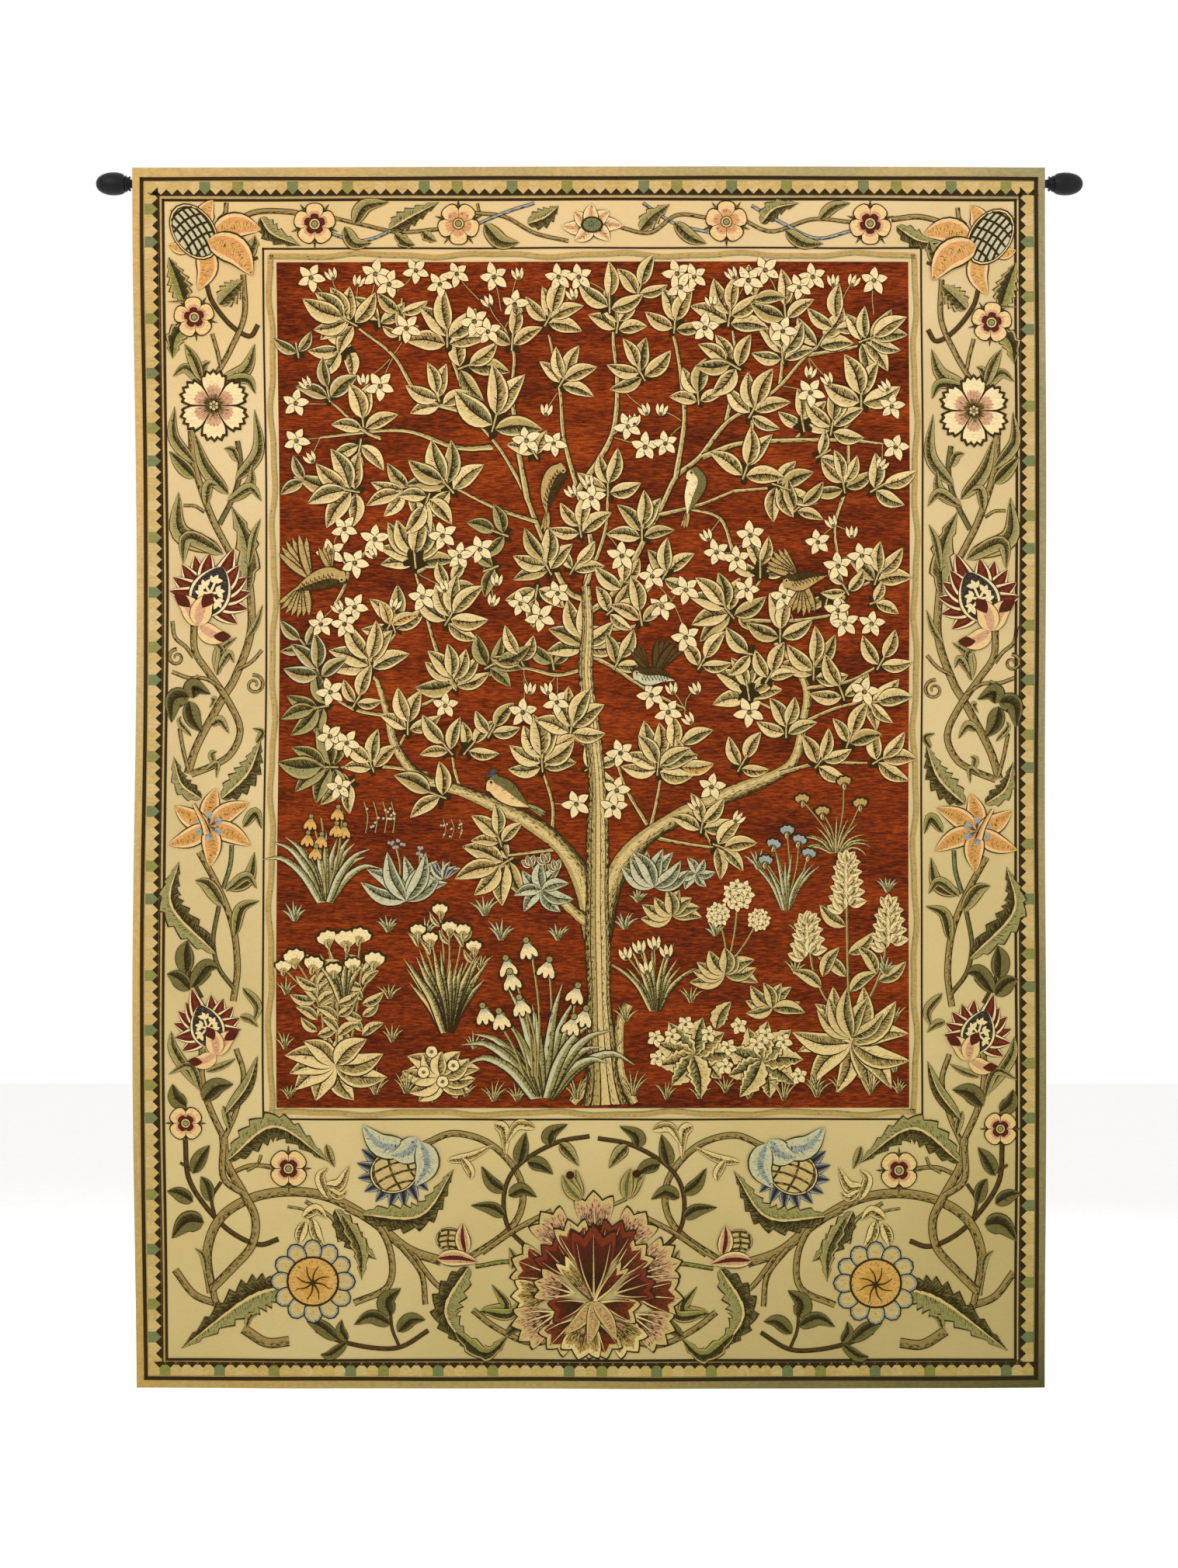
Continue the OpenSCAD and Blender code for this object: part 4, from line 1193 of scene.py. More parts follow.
SIDE_LEAVES = [
    ([(-59.7, 160), (-60.6, 163), (-62, 166.6)], 1.5, "deep", 6),
    ([(-54.6, 159.6), (-52.6, 161.6), (-50.9, 163.2)], 1.5, "olive", 6),
    ([(-51.6, 166.5), (-49.7, 168), (-49.2, 169.8)], 1.0, "olive", 3),
    ([(-57, 158), (-58.6, 159.9), (-62.2, 160)], 0.35),
    ([(-59.6, 156.6), (-61.2, 154.6), (-61.6, 151.6)], 1.3, "deep", 4),
    ([(-57.4, 148.4), (-58.6, 151.6), (-59.8, 153.8)], 0.9),
    ([(-57.3, 147.8), (-59.6, 150.2), (-61.6, 149)], 0.8),
    ([(-57.6, 148.4), (-57, 150.6), (-56, 151.2)], 0.6),
    ([(-54.4, 148.5), (-50.9, 150), (-49.4, 153.8)], 1.1),
    ([(-54, 148.4), (-50.6, 148.6), (-49.4, 146.4)], 0.8, "deep"),
    ([(-58.6, 136.2), (-61.6, 140), (-61.4, 144.6)], 0.95),
    ([(-53.6, 131.6), (-57, 135.6), (-58.6, 140.8)], 1.1),
    ([(-52.6, 133.6), (-49.2, 138), (-49.6, 144.2)], 1.0),
    ([(-58.6, 134), (-60.6, 136), (-62.3, 138)], 1.1, "deep"),
    ([(-52.2, 136.4), (-53, 138), (-54.2, 138.4)], 0.7),
    ([(-53.8, 130.6), (-50.6, 132.8), (-50.1, 136)], 0.9),
    ([(-53.4, 130.8), (-50.4, 132.6), (-48.7, 130.6)], 0.8),
    ([(-57, 130), (-56.6, 133), (-55.2, 133)], 0.8),
    ([(-54.6, 123.4), (-60.8, 126), (-61, 132)], 1.5),
    ([(-54.4, 122.8), (-59.6, 125.2), (-60.4, 121.4)], 1.2),
    ([(-50.9, 117.6), (-50.9, 124), (-53.2, 130)], 1.5, "olive", 4),
    ([(-50.7, 121), (-50, 125.4), (-48.9, 128)], 0.6),
    ([(-51, 110.4), (-49.6, 112.6), (-48.6, 115.4)], 0.5),
    ([(-55.2, 105), (-55, 108.6), (-52.4, 110.6)], 0.8),
    ([(-55.4, 105), (-54.8, 108.6), (-56.2, 109.8)], 0.7),
    ([(-55, 106), (-53.6, 108.2), (-52.8, 106.8)], 0.6),
    ([(-58.8, 101.6), (-58.8, 103.4), (-56.2, 102.2)], 1.3, "dark"),
    ([(-59.4, 101.8), (-61.6, 101.4), (-62, 98)], 1.5, "dark"),
    ([(-59.4, 101.2), (-58.8, 98.6), (-57.4, 96.6)], 1.3, "dark"),
    ([(-56.2, 97.6), (-54.8, 98.4), (-53.4, 96.4)], 0.7),
    ([(-56.2, 101.6), (-55.6, 101.4), (-56.4, 100.2)], 0.4),
    ([(-59, 96), (-60.8, 98), (-60.6, 99)], 0.4),
    ([(-54.4, 86.8), (-50.6, 90.6), (-48.7, 95.4)], 1.7, "split", 7),
    ([(-49.4, 95), (-48.6, 96.6), (-50, 97.2)], 0.5, "deep"),
    ([(-57.4, 86.8), (-60.4, 89), (-61.6, 93)], 1.2, "split", 5),
    ([(-55.6, 91.8), (-56, 93.4), (-55.2, 93.8)], 0.5),
    ([(-56.8, 91), (-55.2, 92), (-55.2, 89.8)], 0.5),
    ([(-51.2, 82.6), (-49.4, 84.8), (-48.4, 82.4)], 0.8, "deep"),
    ([(-53.6, 73.6), (-50.4, 75), (-49.4, 79)], 1.1, "deep"),
    ([(-53.6, 73.2), (-50.6, 75.4), (-49, 73.6)], 0.8),
    ([(-54, 71), (-56.2, 74), (-58.2, 74.8)], 1.1),
    ([(-52.2, 66.6), (-51.4, 70.6), (-48.6, 71.8)], 0.9, "deep"),
    ([(-55, 64), (-61.6, 71), (-60.6, 77.6)], 1.7, "split", 8),
    ([(-59.4, 61), (-59.6, 64), (-59.2, 66)], 1.4, "dark"),
    ([(-58.8, 58.6), (-60.6, 60.4), (-62.2, 61)], 1.3, "dark"),
    ([(-58.6, 59), (-56.4, 62), (-54.6, 62)], 1.3, "dark"),
    ([(-51, 59), (-48.8, 56.4), (-49.4, 53.8)], 0.7),
    ([(-51.4, 54.8), (-50, 54.4), (-48.7, 53.2)], 0.6),
    ([(-57.2, 44), (-61, 49.4), (-61.6, 52.6)], 0.9),
    ([(-57.2, 43.6), (-58.8, 47.4), (-62, 46.2)], 0.7),
    ([(-53.6, 40.4), (-50.4, 44.6), (-48.8, 49)], 1.0, "split"),
    ([(-56.4, 46.6), (-53.8, 47.6), (-52, 48.6)], 0.5),
    ([(-59.4, 41.4), (-61, 42.8), (-61.4, 44.8)], 1.2, "dark"),
    ([(-57, 42.4), (-55, 44.4), (-52.4, 44.8)], 1.4, "dark"),
    ([(-53, 38), (-53.6, 40.6), (-54, 41.6)], 0.6),
]
side = [stem(*row) for row in SIDE_STEMS]
side += [spiral(-61.3, 107.6, 1.3, 1.3, 90), spiral(-49.8, 103.6, 1.5, 1.4, 100, way=-1)]
side += [blade(*row) for row in SIDE_LEAVES]
high_side = [f for f in side if f["xz"][:, 1].mean() > 108]
low_side = [f for f in side if f["xz"][:, 1].mean() <= 108]

CONE_PETALS = [(-56.4, 170.8, 76, 4.3, 1.5), (-55.4, 169.6, 8, 7.2, 2.1),
               (-57, 168.4, -96, 6.8, 1.7), (-58.6, 168.6, -176, 3.4, 1.1),
               (-56.2, 169.0, -38, 8.4, 2.3)]
for number, (x, z, way, length, width) in enumerate(CONE_PETALS):
    if number == len(CONE_PETALS) - 1:
        high_side += lattice(-58.2, 170.3, 4.4, 3.0, -56, "mist", "ink", cells=5)
    high_side.append(pointed(x, z, way, length, width, "peach", "apricot", "amber",
                             base=1.3 if number < 4 else 2.8, bend=0.16))
high_side.append(blade([(-59, 171.4), (-60.6, 173), (-61.8, 173.4)], 0.9, "pale"))
high_side += rose(-58.3, 157.7, 2.9, turn=95)
high_side += carnation(-55.6, 144.7, 5.3)
high_side += lotus(-56.4, 117.0, 3.5)
low_side += lily(-56.2, 82.8, 6.0)
low_side += mirrored(lotus(56.2, 53.0, 2.9, lean=6), 0.0, 0.0)
low_side += rose(-59.5, 39, 2.5, petals=4, turn=45)
on_cloth("border_left_high", high_side)
on_cloth("border_left_low", low_side)
on_cloth("border_right_high", mirrored(high_side))
on_cloth("border_right_low", mirrored(low_side))

# %% [markdown]
# ## The bottom border
# A broad band of scrolls that part from a peony in the middle. Its left half is drawn, with a
# small rose, a gold disc flower with blue florets, a blue flower with a lattice heart, a seed
# pod and twigs of dark leaves, and then mirrored.

# %% Bottom border
LOW_STEMS = [
    ([(-54, 37), (-53.4, 33), (-51, 28.6), (-49.4, 25), (-50, 21), (-53, 17.6), (-56, 14.6)],
     0.62),
    ([(-54, 36), (-54, 31), (-51, 28.6)], 0.5),
    ([(-59.6, 36.6), (-59.2, 31), (-56.6, 26.6), (-53, 23), (-49, 21.2), (-46, 22)], 0.38,
     "umber"),
    ([(-53.4, 31.4), (-50, 32.8), (-46.4, 32.6)], 0.34),
    ([(-50.6, 32), (-49, 33), (-48.4, 34.4)], 0.24),
    ([(-56, 14), (-56.6, 20), (-54.6, 25), (-50, 28), (-44, 29), (-38, 28), (-32, 24.6),
      (-27, 20.6), (-22, 18.8)], 0.72),
    ([(-36, 26.6), (-31.4, 24), (-29.4, 19.6), (-30, 15), (-35, 12.6)], 0.50),
    ([(-28, 21), (-25, 17), (-24.4, 12.4)], 0.42),
    ([(-26, 19.6), (-23, 15.6), (-20.6, 14)], 0.40),
    ([(-24.4, 36), (-20, 37.6), (-14.6, 36), (-10.6, 31.6), (-10, 27), (-12.4, 23),
      (-19, 18.6)], 0.50),
    ([(-9.4, 20.8), (-12.2, 24), (-12.6, 29), (-10.4, 33), (-5, 36.2), (0, 37.2)], 0.34,
     "umber"),
    ([(-16, 20), (-11, 23.4), (-5.6, 26.2)], 0.42),
    ([(-17.4, 11.6), (-14, 9), (-9, 6.8), (-4, 7.6)], 0.46),
    ([(-17, 18), (-11, 18.6), (-5, 15.6)], 0.34, "olive"),
    ([(-61.4, 17.4), (-58.6, 13.8), (-55, 12.4)], 0.55),
    ([(-56.4, 17), (-55.4, 12.6), (-54.6, 11)], 0.5),
    ([(-51.4, 8.8), (-48, 6.8), (-44.6, 7)], 0.75),
    ([(-40.6, 8.6), (-37, 7), (-32, 6), (-28, 6.2), (-24, 8.6)], 0.34, "umber"),
    ([(-29.6, 12.4), (-29.4, 9), (-28.4, 6.4)], 0.24, "umber"),
    ([(-44.6, 26.8), (-42, 26.2), (-41, 24.4)], 0.2, "sage"),
    ([(-42, 27.6), (-38, 25), (-37, 21.6)], 0.3, "sage"),
    ([(-55.4, 25.4), (-55.8, 28), (-54.4, 30.4)], 0.26, "umber"),
    ([(-58.6, 32), (-60.4, 33.2)], 0.22, "umber"),
]
LOW_LEAVES = [
    ([(-53.4, 33.6), (-46.4, 38.6), (-38.4, 33.4)], 1.9, "split", 9),
    ([(-38.8, 36), (-38.2, 34), (-37.6, 32.6)], 0.6),
    ([(-58.6, 31.6), (-57.4, 34), (-56, 35.8)], 1.1, "dark"),
    ([(-58.6, 27.4), (-60.6, 28.6), (-62.4, 29)], 1.1, "dark"),
    ([(-56, 27.4), (-56.6, 29.8), (-57.4, 31.2)], 1.0, "dark"),
    ([(-57, 24.4), (-59.6, 24.4), (-61.8, 22)], 1.6, "dark"),
    ([(-56.8, 17), (-57.2, 19.4), (-58.4, 20.6)], 0.5),
    ([(-38.6, 28), (-39.8, 31), (-38.6, 32.6)], 0.8, "pale"),
    ([(-39, 30), (-37, 30), (-35.4, 33)], 1.0, "pale"),
    ([(-38.6, 29.4), (-37, 28.4), (-35.8, 29.2)], 0.7, "pale"),
    ([(-42, 24.6), (-42.8, 22.6), (-43, 21.2)], 0.9, "pale"),
    ([(-41, 25), (-40.4, 22.6), (-39.2, 21)], 0.9, "pale"),
    ([(-42.4, 25.2), (-40.4, 26.4), (-38.8, 25)], 0.9, "pale"),
    ([(-37.6, 26.4), (-35, 22), (-31.6, 19)], 1.5, "split", 6),
    ([(-36.6, 25.6), (-34, 20.6), (-33.8, 16)], 1.1, "olive", 5),
    ([(-33.6, 25.6), (-25, 25.6), (-20, 32.4)], 1.8, "split", 9),
    ([(-21, 33.6), (-17.6, 34.2), (-14, 36)], 0.7, "pale"),
    ([(-18.8, 34), (-17.6, 32), (-17.6, 30.8)], 0.7, "pale"),
    ([(-14, 39), (-12.6, 38), (-12.4, 34)], 0.9, "pale"),
    ([(-8, 38.4), (-10.6, 38.8), (-12.4, 36)], 0.8, "pale"),
    ([(-12.6, 29), (-14.6, 30.4), (-16, 32.8)], 1.0, "dark"),
    ([(-12.6, 25.4), (-14.6, 26.6), (-17.6, 27)], 1.0, "dark"),
    ([(-12, 28.4), (-10, 29.4), (-7.8, 28.2)], 1.0, "dark"),
    ([(-10.6, 33), (-10, 35.4), (-9.4, 37.8)], 1.1, "dark"),
    ([(-9.2, 33.4), (-7.2, 33), (-5.4, 31.6)], 1.1, "dark"),
    ([(-6, 35.8), (-5.8, 37.6), (-3.2, 39)], 1.1, "dark"),
    ([(-4.4, 36.2), (-3, 34.8), (-1.6, 32.8)], 1.0),
    ([(-18, 18), (-21.4, 11.4), (-17.6, 5.4)], 2.0, "split", 8),
    ([(-20, 8.4), (-15.6, 5.2), (-12, 8)], 1.1, "deep", 4),
    ([(-16.4, 11.4), (-12.6, 12), (-14.6, 15.4)], 1.0, "deep"),
    ([(-15.6, 11.4), (-12, 11), (-10.4, 13)], 0.9, "deep"),
    ([(-11.6, 17.6), (-11.4, 19.4), (-12, 20.8)], 0.6),
    ([(-12.6, 8), (-9.6, 10), (-6.4, 9.8)], 0.9, "dark"),
    ([(-29.6, 10.6), (-30.2, 13), (-28, 14.8)], 1.4, "dark"),
    ([(-29.6, 9.4), (-32.4, 10.6), (-35, 9.4)], 1.1, "dark"),
    ([(-28.6, 8.4), (-26.6, 10.2), (-24.4, 10.2)], 1.1, "dark"),
    ([(-37.4, 7.2), (-40, 9.2), (-42, 9.9)], 1.1, "dark"),
    ([(-36, 7), (-37, 8.6), (-36.8, 10.2)], 0.8, "dark"),
    ([(-36, 6.8), (-38.4, 5), (-40, 5)], 0.8, "dark"),
    ([(-45.6, 15), (-51, 13), (-60.6, 5.8)], 2.4, "split", 9),
    ([(-51, 9), (-50.4, 10.6), (-48.8, 11.2)], 0.5),
]
low = [stem(*row) for row in LOW_STEMS]
low += [blade(*row) for row in LOW_LEAVES]
low += rose(-44.4, 32.4, 2.8, petals=4, turn=45)

DISC = [(0.03, 0.55, "gold", 0.25, 0.15), (0.55, 0.92, "amber", 0.18, 0.3),
        (0.92, 1.0, "ink", 0.9, 0.9)]
FLORET = [(0.05, 0.7, "straw", 0.1, 0.0), (0.7, 0.88, "blue", 0.25, 0.3),
          (0.88, 1.0, "umber", 0.9, 0.9)]
for k in range(12):
    turn = 2 * math.pi * k / 12
    low.append(fan(-41 + 4.6 * math.cos(turn), 15.8 + 4.5 * math.sin(turn), 30 * k, 180,
                   oval(1.75, 1.45), FLORET, 12, level(1.2)))
low.append(fan(-41, 15.8, 0, 180, oval(3.9, 3.7), DISC, 28, level(2.0)))
for way in (20, 70, 110, 160, 200, 250, 290, 340):
    low.append(strip(curve(-41, 15.6, way, 2.6, 0.12), lambda u: 0.14 - 0.09 * u,
                     [(-1, 1, "umber", 0.7, 0.7)], n=6, lift=level(2.5)))

for way in range(150, 350, 22):
    low.append(pointed(-28.6, 32.4, way, 5.8, 1.1, "blue", "denim", "navy", base=1.1))
low += lattice(-28.8, 32.0, 3.6, 3.1, 20, "straw", "bark", cells=3, base=1.6)
for x, z, way, length, width in ((-26.6, 35.6, 155, 7.6, 1.9), (-25.4, 37, 215, 4.8, 2.0),
                                 (-24.8, 36.4, 262, 6.6, 1.9)):
    low.append(pointed(x, z, way, length, width, "mist", "mist", "blue", base=2.4, bend=0.2))
low += lattice(-20.8, 22.0, 1.9, 1.7, 0, "straw", "bark", cells=3, base=1.4)
low.append(pointed(-18.4, 20, 95, 4.4, 1.2, "cream", "rose", "maroon", base=2.3))
low.append(pointed(-22.6, 19.2, -5, 6.0, 1.3, "cream", "rose", "maroon", base=2.3))
on_cloth("border_bottom_left", low)
on_cloth("border_bottom_right", mirrored(low, 0.6, 0.3))

# %% The peony in the middle
HEART_X, HEART_Z = 0.5, 12.8


def ruffled(out, place, way, spread, reach, kind, lobes=3, base=1.3):
    """A petal of the peony: a fan whose foot is out cm from the heart in the direction
    place, and which narrows to its sides: reach * (1 - 0.5 t^6) * (1 - 0.17 saw)."""
    heart, body, rim, vein = {"dark": ("wine", "maroon", "brick", "straw"),
                              "red": ("maroon", "brick", "straw", "cream"),
                              "pale": ("maroon", "rose", "straw", "cream"),
                              "cream": ("rose", "tan", "cream", "umber")}[kind]
    rings = [(0.05, 0.40, heart, 0.45, 0.55), (0.40, 0.66, body, 0.65, 0.50),
             (0.66, 0.82, body, 0.50, 0.30), (0.82, 0.955, rim, 0.35, 0.02),
             (0.955, 1, "umber", 0.9, 0.9)]

    def edge(t):
        saw = 2 * np.abs((0.5 * lobes * (t + 1)) % 1 - 0.5)
        return reach * (1 - 0.5 * np.abs(t) ** 6) * (1 - 0.17 * saw)
    turn = math.radians(place)
    foot = (HEART_X + out * math.cos(turn), HEART_Z + out * math.sin(turn))
    figures = [fan(*foot, way, spread, edge, rings, 8 * lobes + 1, base)]
    for side in np.linspace(-0.62, 0.62, lobes):
        long = 0.84 - 0.14 * abs(side)
        figures.append(strip(curve(*foot, way + side * spread, long * reach, 0.07 * side),
                             lambda u: 0.15 * (1.1 - u), [(-1, 1, vein, 0.1, 0.3)], n=8,
                             lift=base + 0.12))
    return figures


PEONY = [(8.6, 88, 92, 34, 8.0, "pale", 3), (8.2, 117, 124, 36, 7.4, "pale", 3),
         (8.2, 63, 56, 36, 7.4, "pale", 3), (6.6, 146, 158, 36, 7.4, "red", 3),
         (7.0, 34, 26, 38, 7.8, "pale", 4), (6.0, 168, 184, 34, 6.6, "cream", 3),
         (6.0, 10, -4, 36, 7.6, "red", 3), (5.6, 196, 206, 40, 7.4, "pale", 4),
         (5.8, -18, -30, 40, 7.2, "pale", 4), (3.6, 222, 226, 38, 6.4, "red", 3),
         (3.4, -44, -50, 38, 6.6, "cream", 3), (2.4, 270, 288, 40, 6.4, "red", 3),
         (2.0, 250, 256, 40, 7.0, "cream", 3), (4.4, 130, 134, 30, 7.2, "dark", 3),
         (4.4, 50, 46, 30, 7.4, "red", 3), (4.8, 106, 108, 28, 8.2, "red", 3),
         (4.8, 72, 70, 28, 8.2, "dark", 3), (3.0, 156, 164, 32, 6.6, "pale", 3),
         (3.0, 24, 16, 32, 6.8, "dark", 3), (1.0, 180, 196, 28, 6.0, "dark", 2),
         (1.0, 0, -16, 28, 6.2, "red", 2), (0.4, 90, 90, 27, 11.4, "dark", 3),
         (0.0, 90, 128, 13, 8.4, "cream", 2), (0.0, 90, 50, 12, 7.6, "red", 2)]
peony = []
for number, (out, place, way, spread, reach, kind, lobes) in enumerate(PEONY):
    peony += ruffled(out, place, way, spread, reach, kind, lobes, 1.2 + 0.09 * number)
for way in (228, 262, 300):
    peony.append(pointed(0.5, 13, way, 6.6, 1.1, "straw", "tan", "rose", base=3.4))
for x, z, lean in ((-1.4, 27.8, 112), (5.4, 28, 68)):
    peony += [pointed(x, z, lean + turn, 4.6, 1.0, "leaf", "sage", "moss", base=2.9 + 0.01 * turn)
              for turn in (14, -14, 0)]
    tip = math.radians(lean)
    peony.append(fan(x + 4.0 * math.cos(tip), z + 4.0 * math.sin(tip), lean, 180, 0.62,
                     [(0.05, 1, "wine", 0.4, 0.5)], 8, level(3.3)))
    peony.append(stem([(0.5 + 1.2 * math.cos(tip), 26), (x, z)], 0.28, "sage"))
on_cloth("border_peony", peony)

# %% [markdown]
# ## The top border
# A narrow band with four small roses and a broader flower in the middle, joined by thin
# stems, of which some are blue.

# %% Top border
TOP_STEMS = [
    ([(-53, 171.4), (-49, 173.2), (-44, 173.2), (-41, 172.4)], 0.42),
    ([(-38, 172.4), (-33, 171.2), (-28, 170.2), (-22, 170.6)], 0.30),
    ([(-17, 173), (-12.4, 172.4), (-8, 170), (-3, 168.8)], 0.30),
    ([(-38.6, 170.2), (-34, 168.9), (-29.6, 170.2), (-24, 174)], 0.26, "blue"),
    ([(-17.2, 171), (-12.4, 173), (-8, 174.4)], 0.26, "blue"),
    ([(4, 171), (9, 170), (13, 172.6), (17.6, 172.2)], 0.30),
    ([(22.6, 172), (27, 170.2), (33, 172), (38.6, 171.6)], 0.30),
    ([(24, 174), (28.6, 171.4), (33.6, 169.2), (39, 170.4)], 0.26, "blue"),
    ([(8, 174.4), (12.6, 171.4), (18, 170)], 0.26, "blue"),
    ([(44.6, 172), (49, 172.4), (54, 171)], 0.42),
    ([(-16, 172.4), (-16.4, 174.4)], 0.24),
]
TOP_LEAVES = [
    ([(-48.4, 172.4), (-46.6, 170), (-42.4, 168.2)], 1.3, "split", 5),
    ([(-34.6, 171.4), (-33, 174), (-29.4, 174.6)], 1.2),
    ([(-36, 171), (-34.6, 168.6), (-32, 168.6)], 1.1),
    ([(-29.4, 170.6), (-26.4, 172.4), (-22, 174.6)], 1.3, "split", 6),
    ([(-28.6, 170), (-27, 168.6), (-25.6, 168.3)], 0.8, "deep", 3),
    ([(-24.6, 170.4), (-23.6, 169.4), (-22.4, 168.8)], 0.7, "olive", 3),
    ([(-15.4, 171.4), (-13, 168.8), (-10.2, 168.6)], 1.3),
    ([(-9, 171.4), (-6.4, 172.4), (-4.4, 174)], 1.3, "split", 5),
    ([(7.6, 170.4), (9.4, 172.4), (12, 174.2)], 1.2, "olive", 4),
    ([(12.6, 171.6), (15, 169.4), (17.4, 168.4)], 1.1),
    ([(25.4, 171.4), (27.4, 173.6), (31, 174.4)], 1.2, "split", 5),
    ([(29, 170.4), (31.6, 168.6), (34.6, 168.4)], 1.1),
    ([(34, 172), (36, 173.8), (38.6, 174.4)], 0.9),
    ([(45.4, 171), (48.6, 169), (51.6, 168.6)], 1.2, "split", 5),
]
top = [stem(*row) for row in TOP_STEMS]
top += [blade(*row) for row in TOP_LEAVES]
for x, z, heart, body, turn in ((-40.4, 171.4, "maroon", "peach", 90),
                                (-19.2, 171.4, "apricot", "peach", 54),
                                (20.3, 171.6, "apricot", "peach", 90),
                                (41.5, 171.4, "maroon", "peach", 54)):
    top += rose(x, z, 3.0, turn=turn, heart=heart, body=body)
for way in (0, 180, 40, 140, 90, -40, -140):
    top.append(pointed(0.5, 171, way, 4.6 if way in (0, 180) else 3.4, 1.2, "ivory", "peach",
                       "rose"))
top.append(fan(0.5, 171.2, 0, 180, oval(1.7, 1.2), [(0.05, 0.8, "jade", 0.5, 0.3),
                                                    (0.8, 1, "ink", 0.9, 0.9)], 16, level(2.2)))
on_cloth("border_top", top)

# %% [markdown]
# ## The meadow
# Under the tree grows a meadow in the old thousand-flowers way: separate small plants on the
# bare ground, each seen whole. They are made of three things: sword leaves that rise from one
# point and bend over, rosettes of broad leaves, and stalks with a head.

# %% Plants
SWORD = [(-1, -0.76, "pine", 0.8, 0.8), (-0.76, -0.05, "sage", 0.5, 0.25),
         (-0.05, 0.66, "mist", 0.22, 0.05), (0.66, 1, "pine", 0.75, 0.75)]
BLADE_GREEN = [(-1, -0.70, "ink", 0.8, 0.8), (-0.70, 0.0, "sage", 0.6, 0.35),
               (0.0, 0.66, "pale", 0.28, 0.1), (0.66, 1, "ink", 0.8, 0.8)]
STALK = [(-1, 0, "moss", 0.5, 0.3), (0, 1, "leaf", 0.2, 0.0)]
COOL = halves("teal", "mist", rim="mist", deep=0.62)
MILD = halves("sage", "pale", rim="pale", deep=0.7)
BLUISH = halves("denim", "mist", rim="mist", deep=0.6)


def swords(x, z, reach, count, spread=130, width=0.5, bands=SWORD, way=90, droop=0.3, base=0.9):
    """Sword leaves in a fan. Each leaves nearly upright and turns outwards as it goes, the
    outer ones most: its direction is way + turn * (0.6, 1, 1 + droop) on three stretches."""
    figures = []
    for turn in np.linspace(-spread / 2, spread / 2, count):
        turn = turn + chance.uniform(-6, 6)
        size = reach * chance.uniform(0.74, 1.06) * (1 - 0.0016 * abs(turn))
        path = [np.array([x - 0.012 * reach * turn / 10, z])]
        for share, part in ((0.6, 0.42), (1.0, 0.34), (1 + droop, 0.26)):
            out = math.radians(way + turn * share)
            path.append(path[-1] + part * size * np.array([math.cos(out), math.sin(out)]))
        profile = lambda u: width * (np.sin(np.pi * np.clip(0.16 + 0.84 * u, 0, 1) ** 0.75) + 0.05)
        figures.append(strip(path, profile, bands, n=11, lift=level(base)))
    return figures


def rosette(x, z, r, count, bands=MILD, spread=200, way=90, width=0.22, flat=0.8):
    """Broad leaves round one point, flattened as if seen from the side."""
    figures = []
    turns = np.linspace(-spread / 2, spread / 2, count) + chance.uniform(-6, 6, count)
    for turn in turns[np.argsort(-np.abs(turns))]:
        out = math.radians(way + turn)
        size = r * chance.uniform(0.85, 1.08)
        tip = (x + size * math.cos(out), z + flat * size * math.sin(out))
        angle = math.degrees(math.atan2(tip[1] - z, tip[0] - x))
        figures.append(leaf(x, z, angle, math.dist((x, z), tip), width * size, bands, n=10))
    return figures


def stalk(x, z, tip_x, tip_z, half=0.16, lean=0.4, base=0.8):
    """A thin stalk that bows a little."""
    middle = ((x + tip_x) / 2 + lean, (z + tip_z) / 2)
    return strip([(x, z), middle, (tip_x, tip_z)], half, STALK, n=9, lift=level(base), along=True)


def bell(x, z, way=270, size=1.7, body="ivory", shadow="mist"):
    """A hanging bell: a fan with three pointed lobes, under a round green cap."""
    top = (x - 0.5 * size * math.cos(math.radians(way)),
           z - 0.5 * size * math.sin(math.radians(way)))
    at = level(2.2)
    lobes = lambda t: size * (0.78 + 0.30 * np.abs(np.cos(1.5 * np.pi * t)) ** 0.8)
    rings = [(0.10, 0.45, shadow, 0.45, 0.15), (0.45, 0.92, body, 0.15, 0.0),
             (0.92, 1, "umber", 0.7, 0.7)]
    figures = [fan(*top, way, 39, lambda t: 1.03 * lobes(t), [(0.06, 1, "umber", 0.8, 0.8)],
                   13, at),
               fan(*top, way, 35, lobes, rings, 13, at + 0.2)]
    figures.append(fan(*top, way + 180, 180, 0.2 * size, [(0.1, 0.75, "sage", 0.3, 0.2),
                                                          (0.75, 1, "umber", 0.7, 0.7)],
                       8, at + 0.4))
    return figures


def cluster(x, z, r):
    """A round head made of eight small star flowers, one of them in the middle."""
    figures = []
    for k in range(8):
        out, turn = (0.0, 0.0) if k == 0 else (0.62 * r, 2 * math.pi * k / 7)
        figures += blossom(x + out * math.cos(turn), z + out * math.sin(turn), 0.52 * r,
                           chance.uniform(0, 72), half=0.42)
    return figures


def disc_head(x, z, r, body="ivory", heart="leaf", cuts=7):
    """A round head of a flower with a lobed edge."""
    rings = [(0.04, 0.32, heart, 0.7, 0.5), (0.32, 0.86, body, 0.3, 0.0),
             (0.86, 1, "umber", 0.6, 0.7)]
    lobed = lambda t: r * (0.88 + 0.12 * np.abs(np.sin(cuts * np.pi * t / 2)))
    return [fan(x, z, 90, 180, lobed, rings, 3 * cuts, level(1.5))]


def cup(x, z, way=90, size=2.2, body="ivory"):
    """An open cup of three petals on a green base."""
    figures = [pointed(x, z, way + lean, size, 0.34 * size, "ivory", body, "leaf", base=1.3)
               for lean in (-38, 38, 0)]
    figures.append(leaf(x, z, way, 0.5 * size, 0.2 * size, MILD, n=6, base=1.8))
    return figures


